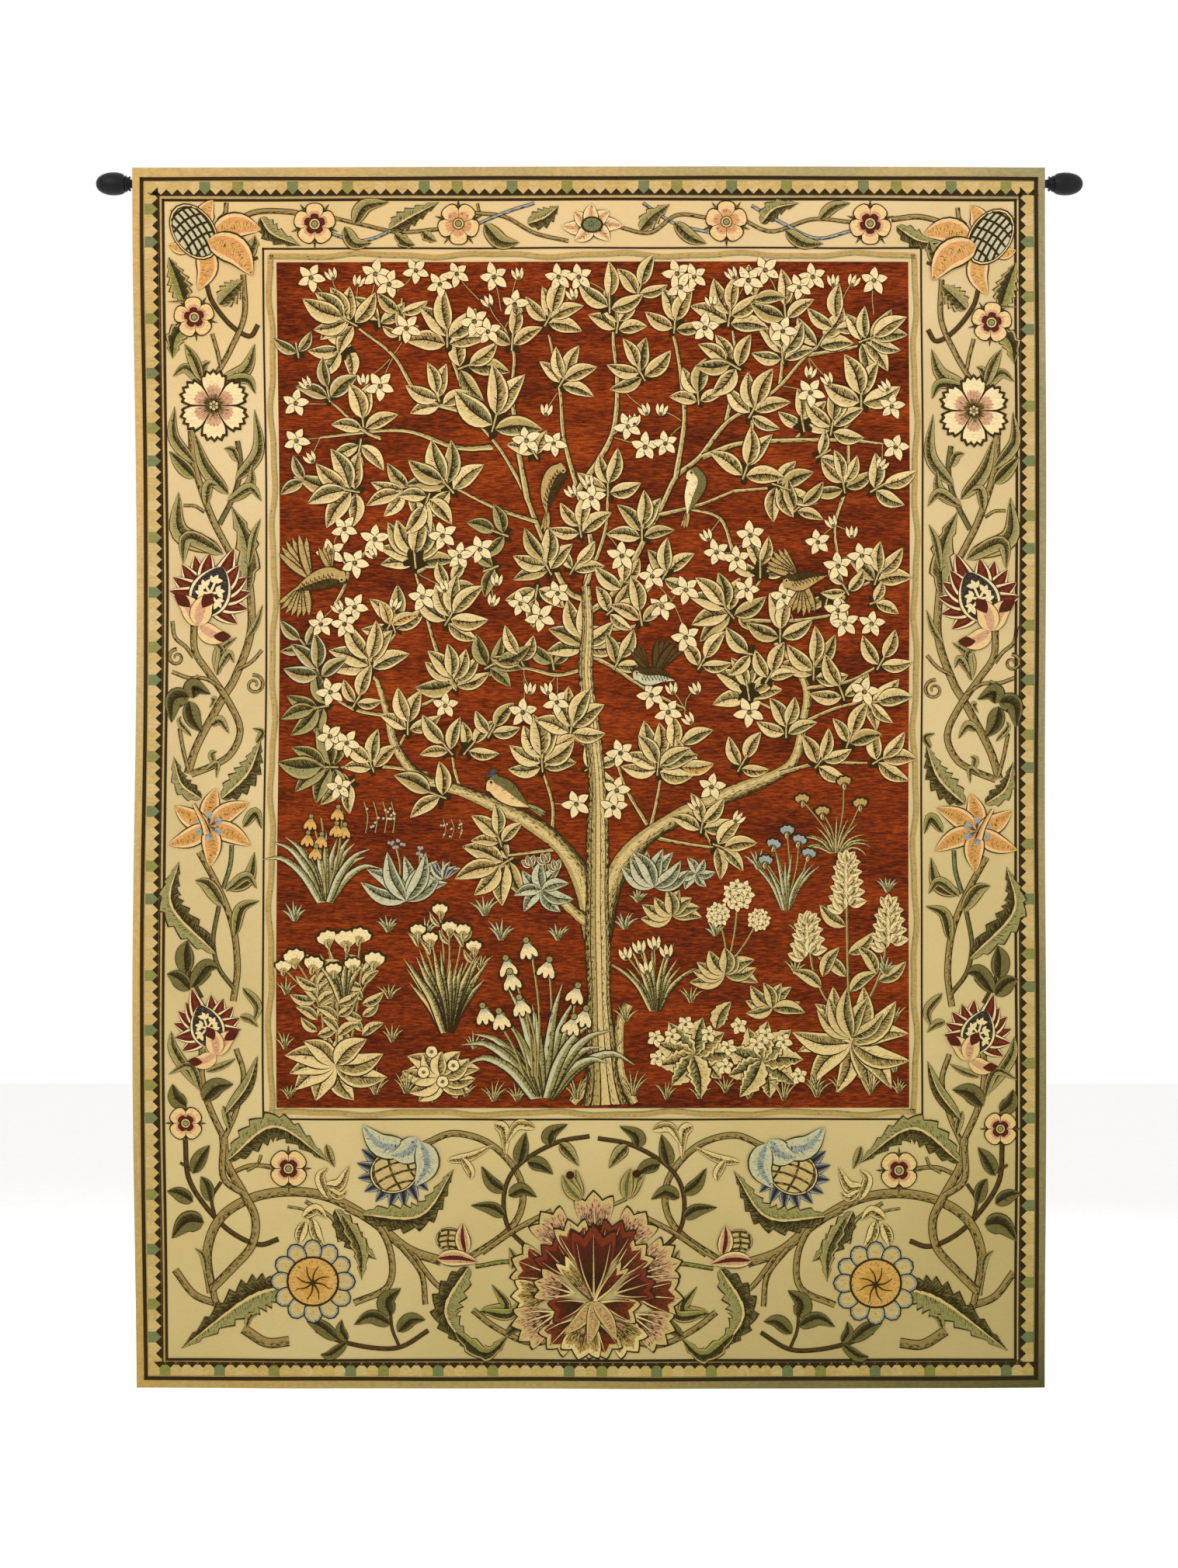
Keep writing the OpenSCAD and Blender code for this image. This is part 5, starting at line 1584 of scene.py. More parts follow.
def pink(x, z, way=90, size=2.4, body="ivory", foot="leaf"):
    """A wild pink from the side: a fan of cut petals on a narrow green foot."""
    rings = [(0.12, 0.50, foot, 0.45, 0.2), (0.50, 0.92, body, 0.25, 0.0),
             (0.92, 1, "umber", 0.8, 0.8)]
    out = math.radians(way)
    low = (x - 0.5 * size * math.cos(out), z - 0.5 * size * math.sin(out))
    figures = petal(*low, way, 46, 1.05 * size, rings, ruff=4, base=1.4, n=17, droop=0.2)
    figures.append(leaf(low[0], low[1] - 0.1 * size, way, 0.55 * size, 0.15 * size, MILD, n=6,
                        base=1.9))
    return figures


def specks(x, z, width, height, count, yarn="mist", size=0.22):
    """Tiny flowers as small discs, scattered evenly by chance."""
    return [fan(x + chance.uniform(-width, width), z + chance.uniform(-height, height), 0, 180,
                size, [(0.1, 1, yarn, 0.15, 0.1)], 5, level(1.5)) for _ in range(count)]

# %% [markdown]
# The plants are set out from left to right and from the far edge of the meadow to the near
# one, so that the near ones, which come later, lie over the far ones.

# %% Far meadow
far = []
far += swords(-39, 71.6, 12.4, 13, 104, 0.62, droop=0.75)
for x, z in ((-41.2, 83.2), (-39.6, 80.6), (-41.6, 80.8), (-37.2, 84.6), (-36.2, 82), (-40.4, 78.8),
             (-37.4, 82.2)):
    far += bell(x, z, 265, 2.1, "amber", "tan")
far += [stalk(-39, 73, -39.6, 84), stalk(-38.4, 73, -36.4, 85), stalk(-38.8, 73, -41, 84)]
for x in (-33, -31.6, -30.2, -29):
    far.append(stalk(x, 81.8, x - 0.3, 86.4, 0.10))
far += specks(-31, 84.2, 2.2, 1.8, 16, "mist", 0.2)
far += rosette(-27, 71.8, 7.4, 9, COOL, 140, 90, 0.17, 1.0)
far += [stalk(-28, 74, -28.6, 80), stalk(-26, 74, -25, 79.2)]
far += specks(-28.4, 80, 1.2, 1.0, 9, "blue", 0.26) + specks(-25.2, 79, 0.9, 0.8, 7, "blue", 0.26)
far += rosette(-21.6, 75, 3.2, 7, BLUISH, 120, 90, 0.18, 1.0)
far += specks(-20.4, 82.4, 1.6, 1.2, 14, "mist", 0.16)
for x in (-21.6, -20.4, -19.2):
    far.append(stalk(x, 81, x, 83.8, 0.08))
for x, z, r in ((-43.4, 68.8, 3.2), (-15.4, 69.6, 3.2), (-29.6, 67.2, 2.6), (-13, 66, 3.4),
                (5.2, 67.6, 2.8), (-4.6, 66, 2.6), (-24, 66.8, 2.6), (44, 73, 2.6),
                (18.6, 66.6, 2.4), (25, 76.4, 3.0), (7.2, 71.6, 2.2), (43.6, 61, 3)):
    far += swords(x, z, r, 6, 100, 0.24)
far += rosette(-7, 73.4, 4.8, 9, COOL, 290, 90, 0.23, 0.85)
for x, z in ((-8.6, 77.2), (-6.4, 77.6), (-4.8, 76.6)):
    far.append(stalk(-7, 73.4, x, z, 0.12, 0.2))
    far += cup(x, z - 0.3, 110, 1.7, "denim")
far += rosette(9.6, 73.8, 6.2, 8, COOL, 120, 90, 0.21, 1.0)
far += rosette(12.2, 69.6, 4.8, 8, MILD, 190, 90, 0.26, 0.8)
far += rosette(15.8, 75.8, 3.0, 6, COOL, 300, 90, 0.26, 0.9)
far += swords(29, 70.4, 9.4, 9, 84, 0.34)
for x, z in ((27.2, 80), (29.2, 82), (31, 80.6), (32.4, 78.6), (26, 77.6)):
    far.append(stalk(29.2, 71.5, x, z, 0.12))
    far += pink(x, z, chance.uniform(70, 110), 1.9, "blue", "pine")
far += swords(36.4, 78.8, 6.2, 13, 220, 0.22, BLADE_GREEN)
for x, z in ((37.6, 89.2), (31.4, 86.6), (34.4, 84.8), (40, 86)):
    far.append(stalk(36.4, 79.6, x, z, 0.12))
    far += pink(x, z, chance.uniform(70, 110), 1.9, "tan", "umber")
for x, low, high in ((38, 70.4, 77.4), (32.2, 63.4, 68.4), (44.2, 64.8, 70.8)):
    far.append(stalk(38.4, 52, x, high, 0.2, 0.3 * (x - 38.4)))
    for k, z in enumerate(np.arange(low, high, 1.5)):
        near = 1 - 0.35 * (z - low) / (high - low)
        far += cup(x - 0.5 * near, z, 128, 2.5 * near) + cup(x + 0.5 * near, z + 0.7, 52,
                                                             2.5 * near)
    far += cup(x, high, 90, 2.0)
for x, z, way in ((37.8, 68, 140), (38.2, 64, 40), (37.8, 60.6, 145), (38.4, 58.4, 35),
                  (34.4, 60.6, 60), (34.2, 59, 150), (42.4, 61, 125), (42.6, 60, 35)):
    far.append(leaf(x, z, way, 5.0, 1.1, MILD))
far += rosette(20, 61, 5.2, 9, MILD, 210, 90, 0.24, 0.7)
for x, z, size in ((22, 72.6, 2.2), (19, 69.8, 1.7), (25, 69, 1.6)):
    far.append(stalk(20.4, 62, x, z, 0.16, 0.3))
    far += cluster(x, z, size)
on_cloth("meadow_far", far)

# %% Near meadow
near = []
for x, z, size, way in ((-35.8, 66, 2.9, 90), (-38.6, 66.2, 2.4, 110), (-33.6, 66.6, 2.4, 70),
                        (-43.4, 63.4, 2.6, 100), (-40.6, 62.4, 2.4, 80), (-31.6, 63, 2.5, 85),
                        (-45, 62, 2.0, 90), (-34.8, 62.4, 2.0, 95), (-37.6, 61.6, 2.0, 90)):
    near.append(stalk(x * 0.4 - 37 * 0.6, 56, x, z, 0.17))
    near += pink(x, z, way, 1.1 * size)
near += swords(-36.4, 57, 8, 7, 60, 0.5, BLADE_GREEN)
for x, z in ((-25.2, 67.4), (-22, 70.4), (-18.6, 67.4), (-20.6, 67.8), (-23.4, 66.2), (-17, 65)):
    near.append(stalk(-21.4 + 0.2 * (x + 21), 58, x, z, 0.16))
    near += pink(x, z, 90, 2.1)
    near.append(leaf(x, z - 1.6, 60, 2.6, 0.4, MILD))
    near.append(leaf(x, z - 2.4, 125, 2.6, 0.4, MILD))
near += swords(-21, 52.4, 12.6, 21, 84, 0.66, BLADE_GREEN, droop=0.1)
near += rosette(-40.4, 57, 4.4, 5, MILD, 140, 90, 0.24, 1.0)
for x, low, high in ((-40, 50, 62), (-37, 50, 61), (-33.4, 50, 62)):
    near.append(stalk(-37.4 + 0.5 * (x + 37), low - 2, x, high, 0.2, 0.2))
    for k, z in enumerate(np.arange(low + 2, high, 2.3)):
        near.append(leaf(x, z, 150 if k % 2 else 30, 3.7, 0.85, MILD))
        near.append(leaf(x, z + 0.6, 40 if k % 2 else 140, 3.2, 0.75, MILD))
near += rosette(-37.4, 47.6, 7.6, 12, CANOPY[2], 330, 90, 0.24, 0.7)
near += rosette(-22, 46, 6, 13, CANOPY[2], 300, 90, 0.26, 0.72)
for x, z in ((-23.2, 49.6), (-20, 47.6), (-24.4, 46.6), (-21.6, 45.2)):
    near += disc_head(x, z, 1.0, "ivory", "tan", 5)
near += swords(-7, 42.8, 16.4, 17, 130, 0.80, SWORD, droop=0.7, base=1.7)
for x, z in ((-11.4, 60), (-10, 56.2), (-15.4, 55), (-13, 54.2), (-2, 58), (-9, 64.6), (-12, 62),
             (-6.2, 61.8), (-0.8, 54.6), (-2.6, 53.4)):
    near.append(stalk(-7 + 0.3 * (x + 7), 46, x + 0.3, z + 1.2, 0.18, 0.8, base=1.7))
    near += bell(x, z, 282 if x < -7 else 255, 2.9)
near += swords(9.6, 55.6, 10, 13, 96, 0.42, BLADE_GREEN)
for x, z in ((5.4, 64), (7.4, 65), (9.6, 65.6), (11.4, 64.4), (8.4, 62)):
    near.append(stalk(9, 58, x, z, 0.15))
    near += bud(x, z, 100, 2.1)
near += rosette(27, 56, 4.6, 8, MILD, 200, 90, 0.24, 0.9)
near += rosette(38.6, 50.8, 9.2, 12, CANOPY[2], 330, 90, 0.20, 0.95)
near += rosette(38.6, 51.6, 7.0, 5, MILD, 110, 90, 0.19, 1.0)
for x, z in ((15.4, 49.0), (25.4, 48.2)):
    for way in (-80, -40, 0, 40, 80, 120, 160, 200, 240):
        way += chance.uniform(-8, 8)
        near.append(strip(curve(x, z, way, chance.uniform(5.2, 6.4), 0.06),
                          toothed(1.75, 5, 0.36), CANOPY[way % 80 > 40], n=21, lift=level(1.0)))
near.append(strip(curve(18.6, 53, 60, 4.6, 0.1), toothed(1.3, 5, 0.3), MILD, n=21,
                  lift=level(1.0)))
for x, z in ((9.8, 51.6), (12.2, 51.8), (14.2, 53.6), (20.4, 50.2), (22, 53.4), (24.6, 50.6),
             (26, 52), (28.6, 51), (30.8, 46), (20, 47.4), (17.6, 52.2), (10, 48.6)):
    near += blossom(x, z, 1.3, chance.uniform(0, 72), half=0.46)
for x in np.arange(-44.6, 46, 4.3):
    if not 0 < x < 5:
        low = 42.2 + chance.uniform(0, 1.4)
        near += swords(x + chance.uniform(-0.7, 0.7), low, chance.uniform(2.2, 4.4), 6, 90, 0.17,
                       BLADE_GREEN)
for x, z in ((-44.8, 50), (-44.6, 58), (-29, 51), (-29.4, 57.4), (-17, 50), (-16, 61.6), (3.6, 50),
             (5.4, 54), (30.4, 61), (31, 66.6), (15, 56.8), (45, 46.6), (45, 54), (33.4, 44)):
    near += swords(x, z, 2.8, 5, 90, 0.2, BLADE_GREEN)
on_cloth("meadow_near", near)

# %% [markdown]
# ## Birds
# Six birds sit or fly among the branches. A body is one strip from beak to tail that swells at
# the breast, and wings and tails are fans of narrow feathers.

# %% Birds
def feathers(x, z, way, spread, length, count, yarn="tan", dark="umber"):
    """Narrow feathers that open from one point, the middle ones longest."""
    bands = [(-1, -0.72, "ink", 0.8, 0.7), (-0.72, 0.5, yarn, 0.4, 0.1), (0.5, 1, dark, 0.5, 0.7)]
    figures = []
    for turn in np.linspace(-spread / 2, spread / 2, count):
        size = length * (1 - 0.35 * (turn / max(spread, 1)) ** 2) * chance.uniform(0.94, 1.04)
        figures.append(strip(curve(x, z, way + turn, size, 0.04),
                             swell(0.55 * length * math.radians(spread) / count + 0.16, 0.9, 0.5),
                             bands, n=8, lift=level(1.5)))
    return figures


def bird(path, girth, back, breast, scales=True, hatch=0.6):
    """A body along a path from tail to beak: dark back, pale breast, a round head, an eye."""
    profile = lambda u: girth * (np.clip(np.sin(np.pi * u ** 1.35), 0, 1) ** 0.75
                                 + 0.34 * np.exp(-((u - 0.90) / 0.055) ** 2)) + 0.05
    bands = [(-1, -0.90, "ink", 0.85, 0.85), (-0.90, -0.1, back, hatch, hatch - 0.1),
             (-0.1, 0.5, breast, 0.35, 0.15), (0.5, 0.9, breast, 0.1, 0.2),
             (0.9, 1, "ink", 0.85, 0.85)]
    figures = [strip(path, profile, bands, n=26, lift=level(1.9))]
    line = smooth_line(path, 40)
    head = line[35]
    figures.append(fan(*head, 0, 180, 0.22 * girth, [(0.1, 0.6, "ink", 0.9, 0.9),
                                                     (0.6, 1, "pale", 0.1, 0.1)], 9, level(2.3)))
    ahead = line[39] - line[36]
    figures.append(strip([line[38], line[39] + 0.9 * ahead], lambda u: 0.28 * girth * (1.05 - u),
                         [(-1, 1, "umber", 0.6, 0.8)], n=4, lift=level(2.2)))
    if scales:
        for k in range(6, 30, 3):
            for side in (-0.35, 0.0, 0.35):
                place = line[k] + girth * side * np.array([0.5, 0.8])
                figures.append(fan(*place, 200, 60, 0.20 * girth,
                                   [(0.55, 1, "ink", 0.5, 0.6)], 5, level(2.3)))
    return figures


birds = []
birds += feathers(-41.6, 119.2, 118, 46, 6.8, 6)
birds += feathers(-42.4, 118.6, 248, 60, 5.4, 7)
birds += feathers(-38.6, 120.4, 100, 34, 4.0, 4)
birds += bird([(-44, 117.4), (-41.4, 118.6), (-38.6, 119.4), (-36.2, 118.8)], 1.6, "umber", "tan")
birds += feathers(-6.5, 129.4, 262, 18, 3.4, 3)
birds += bird([(-6.6, 128.6), (-6.4, 131.6), (-5.2, 134.4), (-3.6, 135.2)], 1.55, "umber",
              "tan", hatch=0.75)
birds += feathers(14.3, 129.6, 258, 16, 3.2, 3)
birds += bird([(14.2, 128.6), (14.8, 131), (15.6, 133.6), (14.4, 135.2)], 1.5, "moss", "ivory",
              scales=False, hatch=0.3)
birds += feathers(30.4, 119.6, 140, 50, 5.0, 6, "tan", "umber")
birds += feathers(31.6, 118.4, 262, 56, 4.6, 6, "tan", "umber")
birds += bird([(34.8, 119.6), (32.6, 119.2), (30.4, 118.6), (28.2, 119)], 1.35, "umber", "tan")
birds += feathers(9.6, 105.6, 62, 50, 5.2, 6, "umber", "ink")
birds += feathers(8.4, 105.8, 118, 30, 4.0, 4, "umber", "ink")
birds += bird([(12.4, 104.2), (10.4, 104.8), (8.2, 104.8), (6.2, 105.6)], 1.35, "umber", "mist")
birds += feathers(-9.6, 86, -28, 14, 3.6, 3, "sage", "pine")
birds += bird([(-9.0, 85.6), (-11, 86.8), (-13.2, 88.4), (-15.2, 89.6)], 1.75, "moss", "peach",
              scales=False, hatch=0.35)
birds += [fan(-14.3, 90.2, 120, 75, 0.95, [(0.1, 1, "denim", 0.5, 0.5)], 8, level(2.5))]
on_cloth("birds", birds)

# %% [markdown]
# ## Lining
# A plain cotton lining covers the back, 6 mm in from the edge all round with its own edge
# turned under, so that nothing of it shows from the front. It is thin, and a hand's warmth of
# unevenness shows in it: shallow puckers where the seam thread pulls it in round the edge.

# %% Lining
THREAD_APART = 0.0011


def plain_cotton(name, light, dark):
    """Plain-weave cotton: warp and weft waves at right angles. Real threads are 0.3 mm apart,
    which is too fine to show, so they are drawn at 1.1 mm."""
    material, tree, shader = new_material(name)
    place = add(tree, "ShaderNodeTexCoord").outputs["Object"]
    waves = [add(tree, "ShaderNodeTexWave", {"wave_type": "BANDS", "bands_direction": way},
                 Vector=place, Scale=math.pi / 10 / THREAD_APART, Distortion=1.2, Detail=1.0,
                 Detail_Scale=2.0).outputs["Fac"] for way in ("X", "Z")]
    both = add(tree, "ShaderNodeMath", {"operation": "MULTIPLY"}, i0=waves[0], i1=waves[1])
    slubs = streaks(tree, place, (25.0, 25.0, 480.0), Detail=3.0)
    wash = add(tree, "ShaderNodeTexNoise", Vector=place, Scale=3.0, Detail=2.0)
    mixed = add(tree, "ShaderNodeMath", {"operation": "MULTIPLY_ADD"}, i0=wash.outputs["Fac"],
                i1=0.25, i2=slubs)
    tone = add(tree, "ShaderNodeMapRange", Value=mixed.outputs[0], i1=0.38, i2=0.88)
    colour = shaded(tree, ramp(tree, tone.outputs[0], [(0.1, dark), (0.9, light)]),
                    both.outputs[0], 0.90, 1.04)
    bump = add(tree, "ShaderNodeBump", Height=both.outputs[0], Strength=0.35,
               Distance=0.0003)
    finish_cotton(shader, tree, colour, bump.outputs[0])
    return material


LINING = plain_cotton("lining_cotton_drill", "#D8CDB4", "#BFB298")
LINING_HALF, LINING_LOW, LINING_HIGH = 66.7, 0.6, 179.2
LINING_FRONT, LINING_REAR = 2.42, 3.15


def pucker(x, z):
    """Depth in mm of the puckers: a wave along the edge that dies away within 3 cm of it."""
    from_side = LINING_HALF - np.abs(x)
    from_end = np.minimum(z - LINING_LOW, LINING_HIGH - z)
    run = np.where(from_side < from_end, z, x)
    near = np.clip(np.minimum(from_side, from_end), 0, 3)
    return 0.28 * np.sin(2 * np.pi * run / 2.0) * near * np.exp(-near / 0.8)


lining = slab("lining_sheet", LINING_HALF, LINING_LOW, LINING_HIGH,
              lambda x, z: -LINING_FRONT - 0.15 * np.abs(pucker(x, z)),
              lambda x, z: -LINING_REAR - pucker(x, z), LINING, columns=186, rows=248)
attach(lining, "cloth")
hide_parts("lining")
print(f"lining {LINING_HALF / 50:.3f} x {(LINING_HIGH - LINING_LOW) / 100:.3f} m")

# %% [markdown]
# ## Rod sleeve
# The sleeve is one band of the same cotton. It is sewn to the lining above the rod, goes over
# and round the rod's back, and comes down to a second seam, so the rod lies between it and
# the lining. Its section is a line in y and z, carried along the rod with fine gathers.

# %% Sleeve
ROD_Y = -0.032
tube_low, tube_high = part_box("rod_tube")
ROD_RADIUS = (tube_high[2] - tube_low[2]) / 2
LINING_BACK = FACE_Y + 0.0028
SLEEVE_HALF, _, SLEEVE_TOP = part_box("rod_sleeve_top")[1]
SLEEVE_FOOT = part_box("rod_sleeve_back")[0][2]


def sleeve_section():
    """The sleeve's middle line from its upper edge to its lower edge, as (y, z) points."""
    radius = ROD_RADIUS + 0.00085
    flat = LINING_BACK + 0.0003
    angle = np.radians(np.linspace(118, -14, 26))
    over = np.stack([ROD_Y + radius * np.cos(angle), radius * np.sin(angle)], axis=1)
    upper = np.array([[flat, SLEEVE_TOP], [flat, SLEEVE_TOP - 0.0015],
                      [flat + 0.0001, SLEEVE_TOP - 0.0030]])
    drop = np.linspace(0.08, 0.94, 16)[:, None]
    end = np.array([flat + 0.0003, SLEEVE_FOOT + 0.0062])
    down = over[-1] + drop * (end - over[-1])
    down[:, 0] += 0.0012 * np.sin(np.pi * drop[:, 0])
    lower = np.array([[flat + 0.0001, SLEEVE_FOOT + 0.0050], [flat, SLEEVE_FOOT + 0.0025],
                      [flat, SLEEVE_FOOT]])
    return np.vstack([upper, over, down, lower])


def sleeve_sheet():
    """The section swept along the rod, closed into a thin sheet. Gathers are waves across the
    free part: 0.5 mm sin(2 pi x / 31 mm) and less of sin(2 pi x / 13 mm), outwards only."""
    line = sleeve_section()
    slope = np.gradient(line, axis=0)
    slope /= np.linalg.norm(slope, axis=1, keepdims=True)
    normal = np.stack([-slope[:, 1], slope[:, 0]], axis=1)
    x = np.linspace(-SLEEVE_HALF, SLEEVE_HALF, 420)
    n, columns = len(line), len(x)
    u = np.linspace(0, 1, n)
    free = np.clip(np.sin(np.pi * np.clip((u - 0.06) / 0.88, 0, 1)), 0, 1)
    wave = (0.5 + 0.5 * np.sin(2 * np.pi * x / 0.031 + np.sin(x * 21)) * 0.8
            + 0.2 * np.sin(2 * np.pi * x / 0.013))
    puff = 0.0006 * free[:, None] * np.clip(wave, 0, 1.2)[None, :]
    sheets = []
    for off in (0.00018, -0.00018):
        yz = line[:, None, :] + normal[:, None, :] * (puff + off)[:, :, None]
        gx = np.broadcast_to(x, (n, columns))
        sheets.append(np.stack([gx, yz[:, :, 0], yz[:, :, 1]], axis=-1))
    length = np.linalg.norm(np.diff(line, axis=0), axis=1).sum()
    faces = shell_faces(n, columns)[:, ::-1]
    return np.vstack([s.reshape(-1, 3) for s in sheets]), faces, length


points, faces, sleeve_length = sleeve_sheet()
sleeve = mesh_object("rod_sleeve_sewn", points, faces,
                     plain_cotton("sleeve_cotton_tape", "#CFC3A6", "#B5A888"))
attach(sleeve, "cloth")
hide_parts("rod_sleeve_top", "rod_sleeve_back")
print(f"sleeve section {sleeve_length * 1000:.0f} mm long")

# %% [markdown]
# ## Stitches
# The seams are hand sewn with a thick cotton thread. Each stitch is a small rounded rod, 5 mm
# long with a gap of 3 mm, that dips into the cloth at both ends. They all share one small mesh
# that is turned and moved in one array step, with a little chance in their lean.

# %% Stitches
def thread_cotton():
    """Waxed cotton thread: pale, with a slanting twist and a slight gloss."""
    material, tree, shader = new_material("thread_waxed_cotton")
    place = add(tree, "ShaderNodeTexCoord").outputs["Object"]
    twist = add(tree, "ShaderNodeTexWave", {"bands_direction": "DIAGONAL"}, Vector=place,
                Scale=260.0, Distortion=0.5)
    tone = add(tree, "ShaderNodeTexNoise", Vector=place, Scale=30.0)
    colour = shaded(tree, ramp(tree, twist.outputs["Fac"], [(0.2, "#C7B68F"), (0.7, "#E6DABB")]),
                    tone.outputs["Fac"], 0.9, 1.05)
    bump = add(tree, "ShaderNodeBump", Height=twist.outputs["Fac"], Strength=0.5,
               Distance=0.0002)
    finish_cotton(shader, tree, colour, bump.outputs[0])
    shader.inputs["Roughness"].default_value = 0.7
    return material


THREAD = thread_cotton()


def capsule(length=0.005, radius=0.00035):
    """One stitch along x: radius(u) = radius * sin(pi u)^0.4, rising 0.2 mm in its middle."""
    around, along = 6, 7
    u = np.linspace(0, 1, along)[1:-1]
    t = np.linspace(0, 2 * np.pi, around, endpoint=False)
    wide = radius * np.sin(np.pi * u) ** 0.4
    body = np.stack([np.broadcast_to((u - 0.5)[:, None] * length, (along - 2, around)),
                     wide[:, None] * np.cos(t) + 0.0002 * np.sin(np.pi * u)[:, None],
                     wide[:, None] * np.sin(t)], axis=-1).reshape(-1, 3)
    points = np.vstack([body, [[-length / 2, 0, 0], [length / 2, 0, 0]]])
    index = np.arange(len(body)).reshape(along - 2, around)
    faces = [list(f) for f in np.stack([index[:-1], np.roll(index[:-1], -1, 1),
                                        np.roll(index[1:], -1, 1), index[1:]],
                                       axis=-1).reshape(-1, 4)]
    first, last = len(body), len(body) + 1
    for k in range(around):
        faces.append([first, index[0, (k + 1) % around], index[0, k]])
        faces.append([last, index[-1, k], index[-1, (k + 1) % around]])
    return points, faces


def stitches(name, places, turns, replaced, **size):
    """Copies of one stitch at places (metres), each turned in the cloth's plane by turns."""
    shape, faces = capsule(**size)
    cos, sin = np.cos(turns)[:, None], np.sin(turns)[:, None]
    x, y, z = shape.T
    points = np.stack([x * cos - z * sin, np.broadcast_to(y, (len(places), len(shape))),
                       x * sin + z * cos], axis=-1) + places[:, None, :]
    every = [[i + k * len(shape) for i in f] for k in range(len(places)) for f in faces]
    piece = mesh_object(name, points, every, THREAD)
    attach(piece, "cloth")
    if replaced:
        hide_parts(*replaced)
    print(f"{name}: {len(places)} stitches")
    return piece


spots, leans = [], []
for (ax, az), (bx, bz) in (((-65.9, 1.4), (65.9, 1.4)), ((65.9, 1.4), (65.9, 178.4)),
                           ((65.9, 178.4), (-65.9, 178.4)), ((-65.9, 178.4), (-65.9, 1.4))):
    run = math.dist((ax, az), (bx, bz))
    t = (np.arange(int(run / 0.8)) + 0.5) / int(run / 0.8)
    spots.append(np.stack([ax + (bx - ax) * t, az + (bz - az) * t], axis=1))
    leans.append(np.full(len(t), math.atan2(bz - az, bx - ax)))
spots, leans = np.vstack(spots), np.concatenate(leans)
leans = leans + 0.35 + chance.normal(0, 0.08, len(leans))
depth = -LINING_REAR - pucker(*spots.T) - 0.12
lining_thread = stitches("lining_stitches", hang(*spots.T, depth), leans, ["lining_seam_thread"])
x = np.arange(-SLEEVE_HALF + 0.006, SLEEVE_HALF - 0.004, 0.008)
for name, node, z in (("sleeve_stitches_upper", "sleeve_upper_thread",
                       SLEEVE_TOP - 0.0014),
                      ("sleeve_stitches_lower", "sleeve_lower_thread", SLEEVE_FOOT + 0.0025)):
    places = np.stack([x, np.full(len(x), LINING_BACK + 0.00058),
                       z + chance.normal(0, 0.0001, len(x))], axis=1)
    stitches(name, places, chance.normal(0, 0.05, len(x)), [node])

# %% [markdown]
# ## Care label
# A small label of white satin ribbon is sewn low on the lining. It is left blank: what a real
# one says is the maker's own.

# %% Label
def satin():
    """Woven satin ribbon: long floats give a soft gloss that runs along the ribbon."""
    material, tree, shader = new_material("label_satin_ribbon")
    place = add(tree, "ShaderNodeTexCoord").outputs["Object"]
    fine = streaks(tree, place, (90.0, 90.0, 1500.0), Detail=1.0)
    wash = add(tree, "ShaderNodeTexNoise", Vector=place, Scale=60.0)
    colour = shaded(tree, ramp(tree, fine, [(0.3, "#E4E0D6"), (0.7, "#F3F0E8")]),
                    wash.outputs["Fac"], 0.95, 1.02)
    bump = add(tree, "ShaderNodeBump", Height=fine, Strength=0.2,
               Distance=0.0002)
    tree.links.new(colour, shader.inputs["Base Color"])
    tree.links.new(bump.outputs[0], shader.inputs["Normal"])
    shader.inputs["Roughness"].default_value = 0.42
    shader.inputs["IOR"].default_value = 1.5
    shader.inputs["Anisotropic"].default_value = 0.4
    return material


label_low, label_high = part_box("care_label")
half_wide = (label_high[0] - label_low[0]) * 50
label_x = (label_high[0] + label_low[0]) * 50
label_z = ((label_low[2] - BOTTOM) * 100, (label_high[2] - BOTTOM) * 100)
label_half = half_wide - 0.02


def label_sheet():
    """The label as a closed sheet that stands off a little more towards its free lower end."""
    rows, columns = 22, 30
    x = np.linspace(-label_half, label_half, columns)
    z = np.linspace(label_z[0] + 0.02, label_z[1] - 0.02, rows)
    gx, gz = np.meshgrid(x, z)
    curl = 0.35 * ((z[-1] - gz) / (z[-1] - z[0])) ** 2 * (0.6 + 0.4 * np.cos(1.7 * gx + 0.4))
    sheets = [hang(gx + label_x, gz, -3.22 - curl), hang(gx + label_x, gz, -3.52 - curl)]
    return np.vstack([s.reshape(-1, 3) for s in sheets]), shell_faces(rows, columns)


label = mesh_object("care_label_ribbon", *label_sheet(), satin())
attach(label, "cloth")
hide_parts("care_label")
t = (np.arange(12) + 0.5) / 12
spots = np.stack([label_x + (2 * t - 1) * (label_half - 0.15), np.full(12, label_z[1] - 0.25)],
                 axis=1)
label_thread = stitches("label_stitches", hang(*spots.T, -3.58), np.zeros(12), [],
                        length=0.0022, radius=0.0002)
